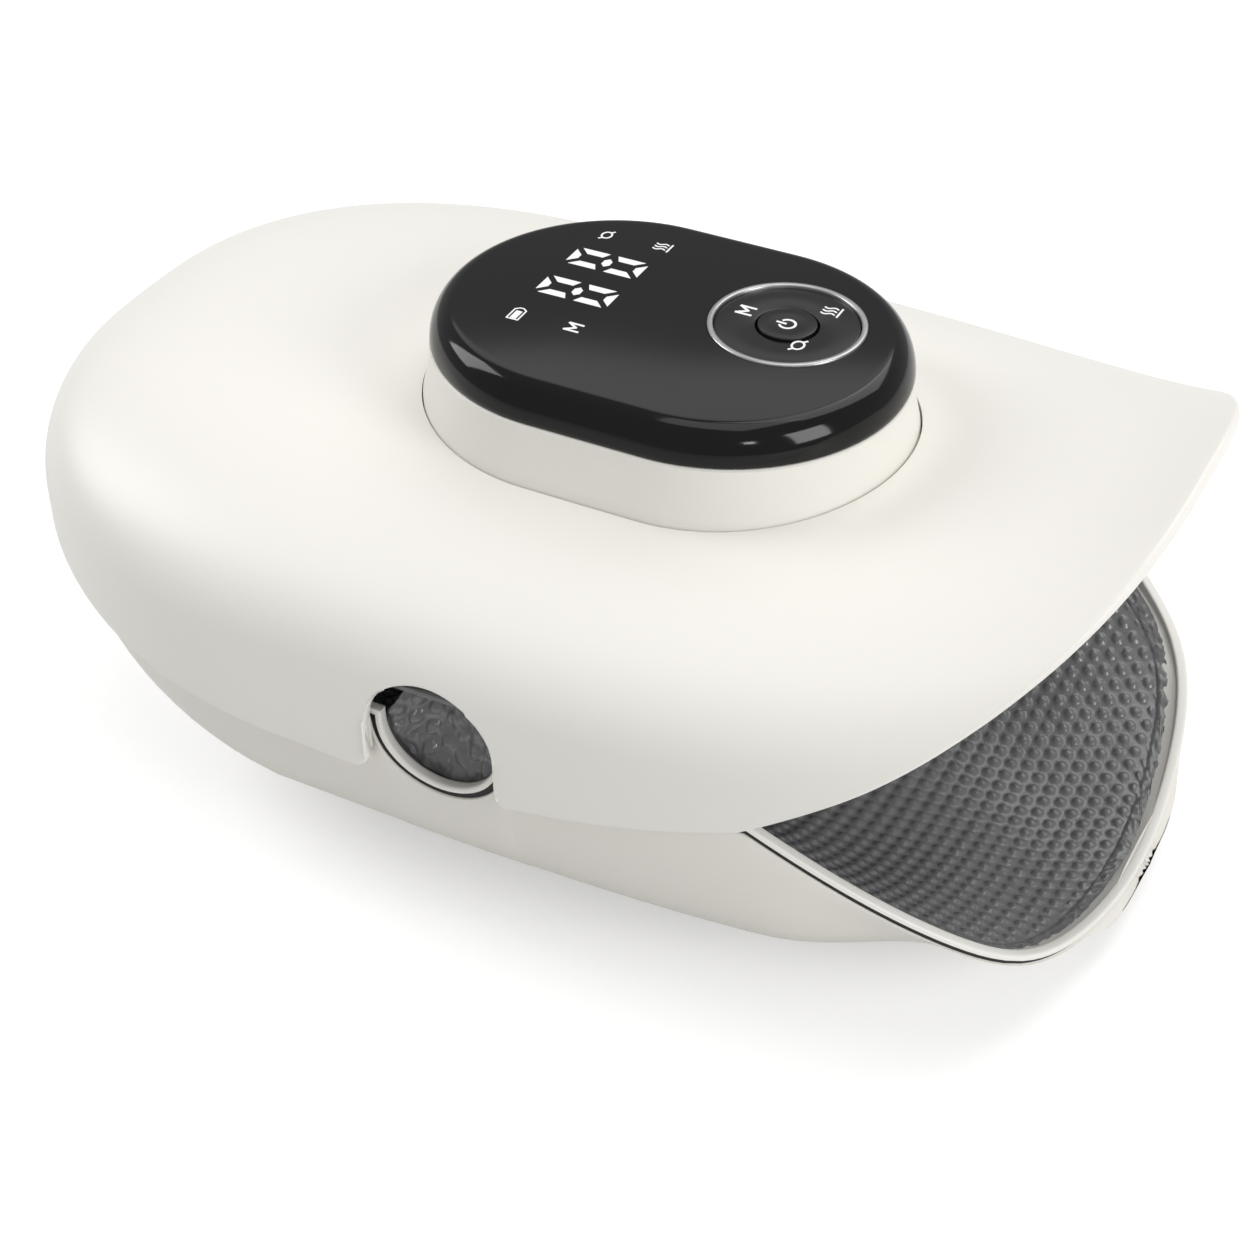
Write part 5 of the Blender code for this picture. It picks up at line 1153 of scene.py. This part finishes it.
# %% Thumb webs
WEB_FROM, WEB_TO, WEB_OVER, WEB_UNDER = 188, 358, 0.0015, 0.0022
CUSP, CUSP_WIDTH = Vector((THUMB_X - 0.0050, 0.0, THUMB_Z + 0.0150)), 0.0004
WEB_SETBACK, WEB_SAG, CUSP_SAG, WEB_BELLY = 0.0047, 0.0045, 0.0010, 0.0050
FOLDS, FOLD_DRIFT, FOLD_DEPTH, GATHERING = 44, 1.5, 0.00060, 0.85
LUMPS = ((0.0005, 330, 4.0), (0.0004, 900, 8.0))
WEB_WALL, WEB_LIP, STUD_SCALE = 0.0005, 0.00012, 0.95
# The web is the lining's skin, painted a lighter grey than the lining as light, because it hangs in
# a recess that little light reaches.
WEB_PAINTED_LIGHT = finish("web_grey_painted_light", (0.270, 0.271, 0.274), (0.190, 0.191, 0.193), (0.10, 0.16), 240.0,
             1800.0, 5e-5, specular=0.7)


def web_point(u, v, side):
    """A point of the web: u runs along its lower edge and v from there up to the cusp."""
    angle = radians(mix(WEB_FROM, WEB_TO, u))
    x = THUMB_X + (THUMB_RADIUS + WEB_OVER) * cos(angle)
    z = THUMB_Z + (THUMB_RADIUS + WEB_UNDER) * sin(angle)
    narrow = v ** GATHERING
    x, z = mix(x, CUSP.x + CUSP_WIDTH * (u - 0.5), narrow), mix(z, CUSP.z, narrow)
    inwards = WEB_SAG * sin(pi * min(v * 0.9, 1.0)) + CUSP_SAG * v
    inwards += WEB_BELLY * sin(pi * u) * (1 - v) * v * 2
    drifting = u * FOLDS + FOLD_DRIFT * sin(u * 9)
    fan = sin(drifting) * FOLD_DEPTH * sin(pi * v) * (0.3 + v)
    lumps = sum(depth * noise(Vector((x * scale, z * scale, seed))) for depth, scale, seed in LUMPS)
    return x, side * (rim_width(THUMB_X) - WEB_SETBACK - inwards + fan + lumps * (1 - v)), z


def thumb_web(name, side):
    steps, count = ((80, 110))
    points = np.array([[web_point(j / count, i / steps, side) for j in range(count + 1)]
                       for i in range(steps + 1)])
    studs = dots(points[..., 0] * STUD_SCALE + 0.001, points[..., 2] * STUD_SCALE)
    fading = np.clip(1.3 - 1.6 * np.linspace(0, 1, steps + 1), 0, 1)[:, None]
    points[..., 1] += side * DOT_HEIGHT * studs * fading
    if side > 0:
        points = points[:, ::-1]
    web = thick_skin(name, points.tolist(), WEB_WALL, WEB_LIP, WEB_PAINTED_LIGHT, 2)
    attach(web, "housing")


thumb_web("thumb_web_near", -1)
thumb_web("thumb_web_far", 1)
print("thumb webs made")

# %% [markdown]
# ## Finishes of the inner parts
# The solids of the keys' underside, the pump, the valve, the cells and the boards keep their
# shapes, which are right as they are. Each one gets a finish of its own stuff, with the same
# grain group, so a turned-over or opened part still looks made.

# %% Inner finishes
STEEL = finish("plated_steel", (0.55, 0.55, 0.56), (0.42, 0.42, 0.44), (0.22, 0.38), 80.0,
               2600.0, 1e-5, 1.0)
COPPER = finish("heater_film", (0.42, 0.20, 0.07), (0.30, 0.13, 0.05), (0.35, 0.50), 300.0,
                2000.0, 2e-5)
BOARD = finish("board_green", (0.015, 0.110, 0.040), (0.010, 0.075, 0.030), (0.30, 0.42), 220.0,
               3000.0, 2e-5)
CELL = finish("cell_wrap", (0.050, 0.170, 0.360), (0.040, 0.130, 0.300), (0.28, 0.36), 90.0,
              1800.0, 1e-5)
HOSE = finish("silicone_hose", (0.60, 0.60, 0.58), (0.50, 0.50, 0.48), (0.30, 0.40), 120.0,
              2000.0, 1e-5)
RUBBER = finish("foot_rubber", grey(0.030), grey(0.045), (0.65, 0.80), 90.0, 1500.0, 5e-5)
WHITE_PART = finish("inner_white", (0.62, 0.61, 0.58), (0.55, 0.54, 0.51), (0.45, 0.55), 60.0,
                    2000.0, 1e-5)
FINISHES = {
    STEEL: ("pump_motor", "pump_shaft", "valve_plunger", "valve_spring", "charging_port",
            "power_switch", "mode_switch", "heat_switch", "air_switch",
            *(f"base_screw_{number}" for number in range(1, 5))),
    COPPER: ("upper_heating_film", "lower_heating_film"),
    BOARD: ("display_board", "control_board", "charge_board"),
    CELL: ("battery_cell_1", "battery_cell_2"),
    HOSE: ("pump_hose", "upper_bag_hose", "lower_bag_hose", "valve_hose"),
    RUBBER: ("key_membrane", "pump_cradle",
             *(f"rubber_foot_{number}" for number in range(1, 5))),
    WHITE_PART: ("pump_head", "air_manifold", "valve_body", "battery_tray"),
}
finish_of = {node: material for material, members in FINISHES.items() for node in members}
for name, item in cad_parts.items():
    item.data.materials.clear()
    item.data.materials.append(finish_of.get(name, MATT_BLACK))
print("finished nodes", len(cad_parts))

# %% [markdown]
# ## Studio
# A pale floor under soft light from all round: wide boxes behind, above and at both ends. A long
# strip far behind lies where the flat cover mirrors it, and a small box in front puts sparks on
# the cover's edge. The floor is lifted to white by a little glow that only the camera sees, so
# no extra light reaches the object, and the soft shadow stays.

# %% Floor and lights
FLOOR_REACH, FLOOR_GLOW, SKY_STRENGTH = 3.0, 0.38, 0.38
MIDDLE = (0.0, 0.0, 0.05)

bpy.context.scene.view_settings.view_transform = "Standard"
floor_mesh = bpy.data.meshes.new("studio_floor")
corners = [(-1, -1), (1, -1), (1, 1), (-1, 1)]
floor_mesh.from_pydata([(FLOOR_REACH * x, FLOOR_REACH * y, 0) for x, y in corners], [],
                       [(0, 1, 2, 3)])
FLOOR = bpy.data.materials.new("studio_floor")
FLOOR.use_nodes = True
tree = FLOOR.node_tree
matt = fill(tree.nodes["Principled BSDF"], {"Base Color": (0.80, 0.80, 0.80, 1.0),
                                            "Roughness": 0.9, "Specular IOR Level": 0.0})
glow = add_node(tree, "ShaderNodeEmission", Strength=FLOOR_GLOW)
add = add_node(tree, "ShaderNodeAddShader")
ray = add_node(tree, "ShaderNodeLightPath")
choose = add_node(tree, "ShaderNodeMixShader")
join(tree, (matt, 0, add, 0), (glow, 0, add, 1), (ray, "Is Camera Ray", choose, 0),
     (matt, 0, choose, 1), (add, 0, choose, 2),
     (choose, 0, tree.nodes["Material Output"], "Surface"))
floor_mesh.materials.append(FLOOR)
floor = add_object("studio_floor", floor_mesh)

world = bpy.data.worlds.new("studio_world")
bpy.context.scene.world = world
world.use_nodes = True
fill(world.node_tree.nodes["Background"], {"Color": (1.0, 1.0, 1.0, 1.0),
                                           "Strength": SKY_STRENGTH})

for name, place, target, size, watts in (
        ("key_softbox", (0.25, 0.75, 1.15), MIDDLE, (0.9, 0.9), 5.4),
        ("top_softbox", (0.0, 0.0, 1.4), MIDDLE, (0.8, 0.8), 3.3),
        ("left_softbox", (-1.0, -0.1, 0.75), MIDDLE, (0.5, 0.7), 5.6),
        ("right_softbox", (1.2, -0.3, 0.6), MIDDLE, (0.5, 0.7), 7.5),
        ("spark_softbox", (0.80, -0.95, 0.70), (0.06, 0.0, 0.04), (0.14, 0.14), 0.8),
        ("back_strip", (-0.73, 1.43, 1.53), (0.0, 0.0, 0.11), (1.6, 0.62), 2.8)):
    light = bpy.data.lights.new(name, "AREA")
    light.shape, light.energy = "RECTANGLE", watts
    light.size, light.size_y = size
    item = add_object(name, light)
    item.location = place
    item.rotation_euler = (Vector(target) - Vector(place)).to_track_quat("-Z", "Y").to_euler()
print("studio ready")
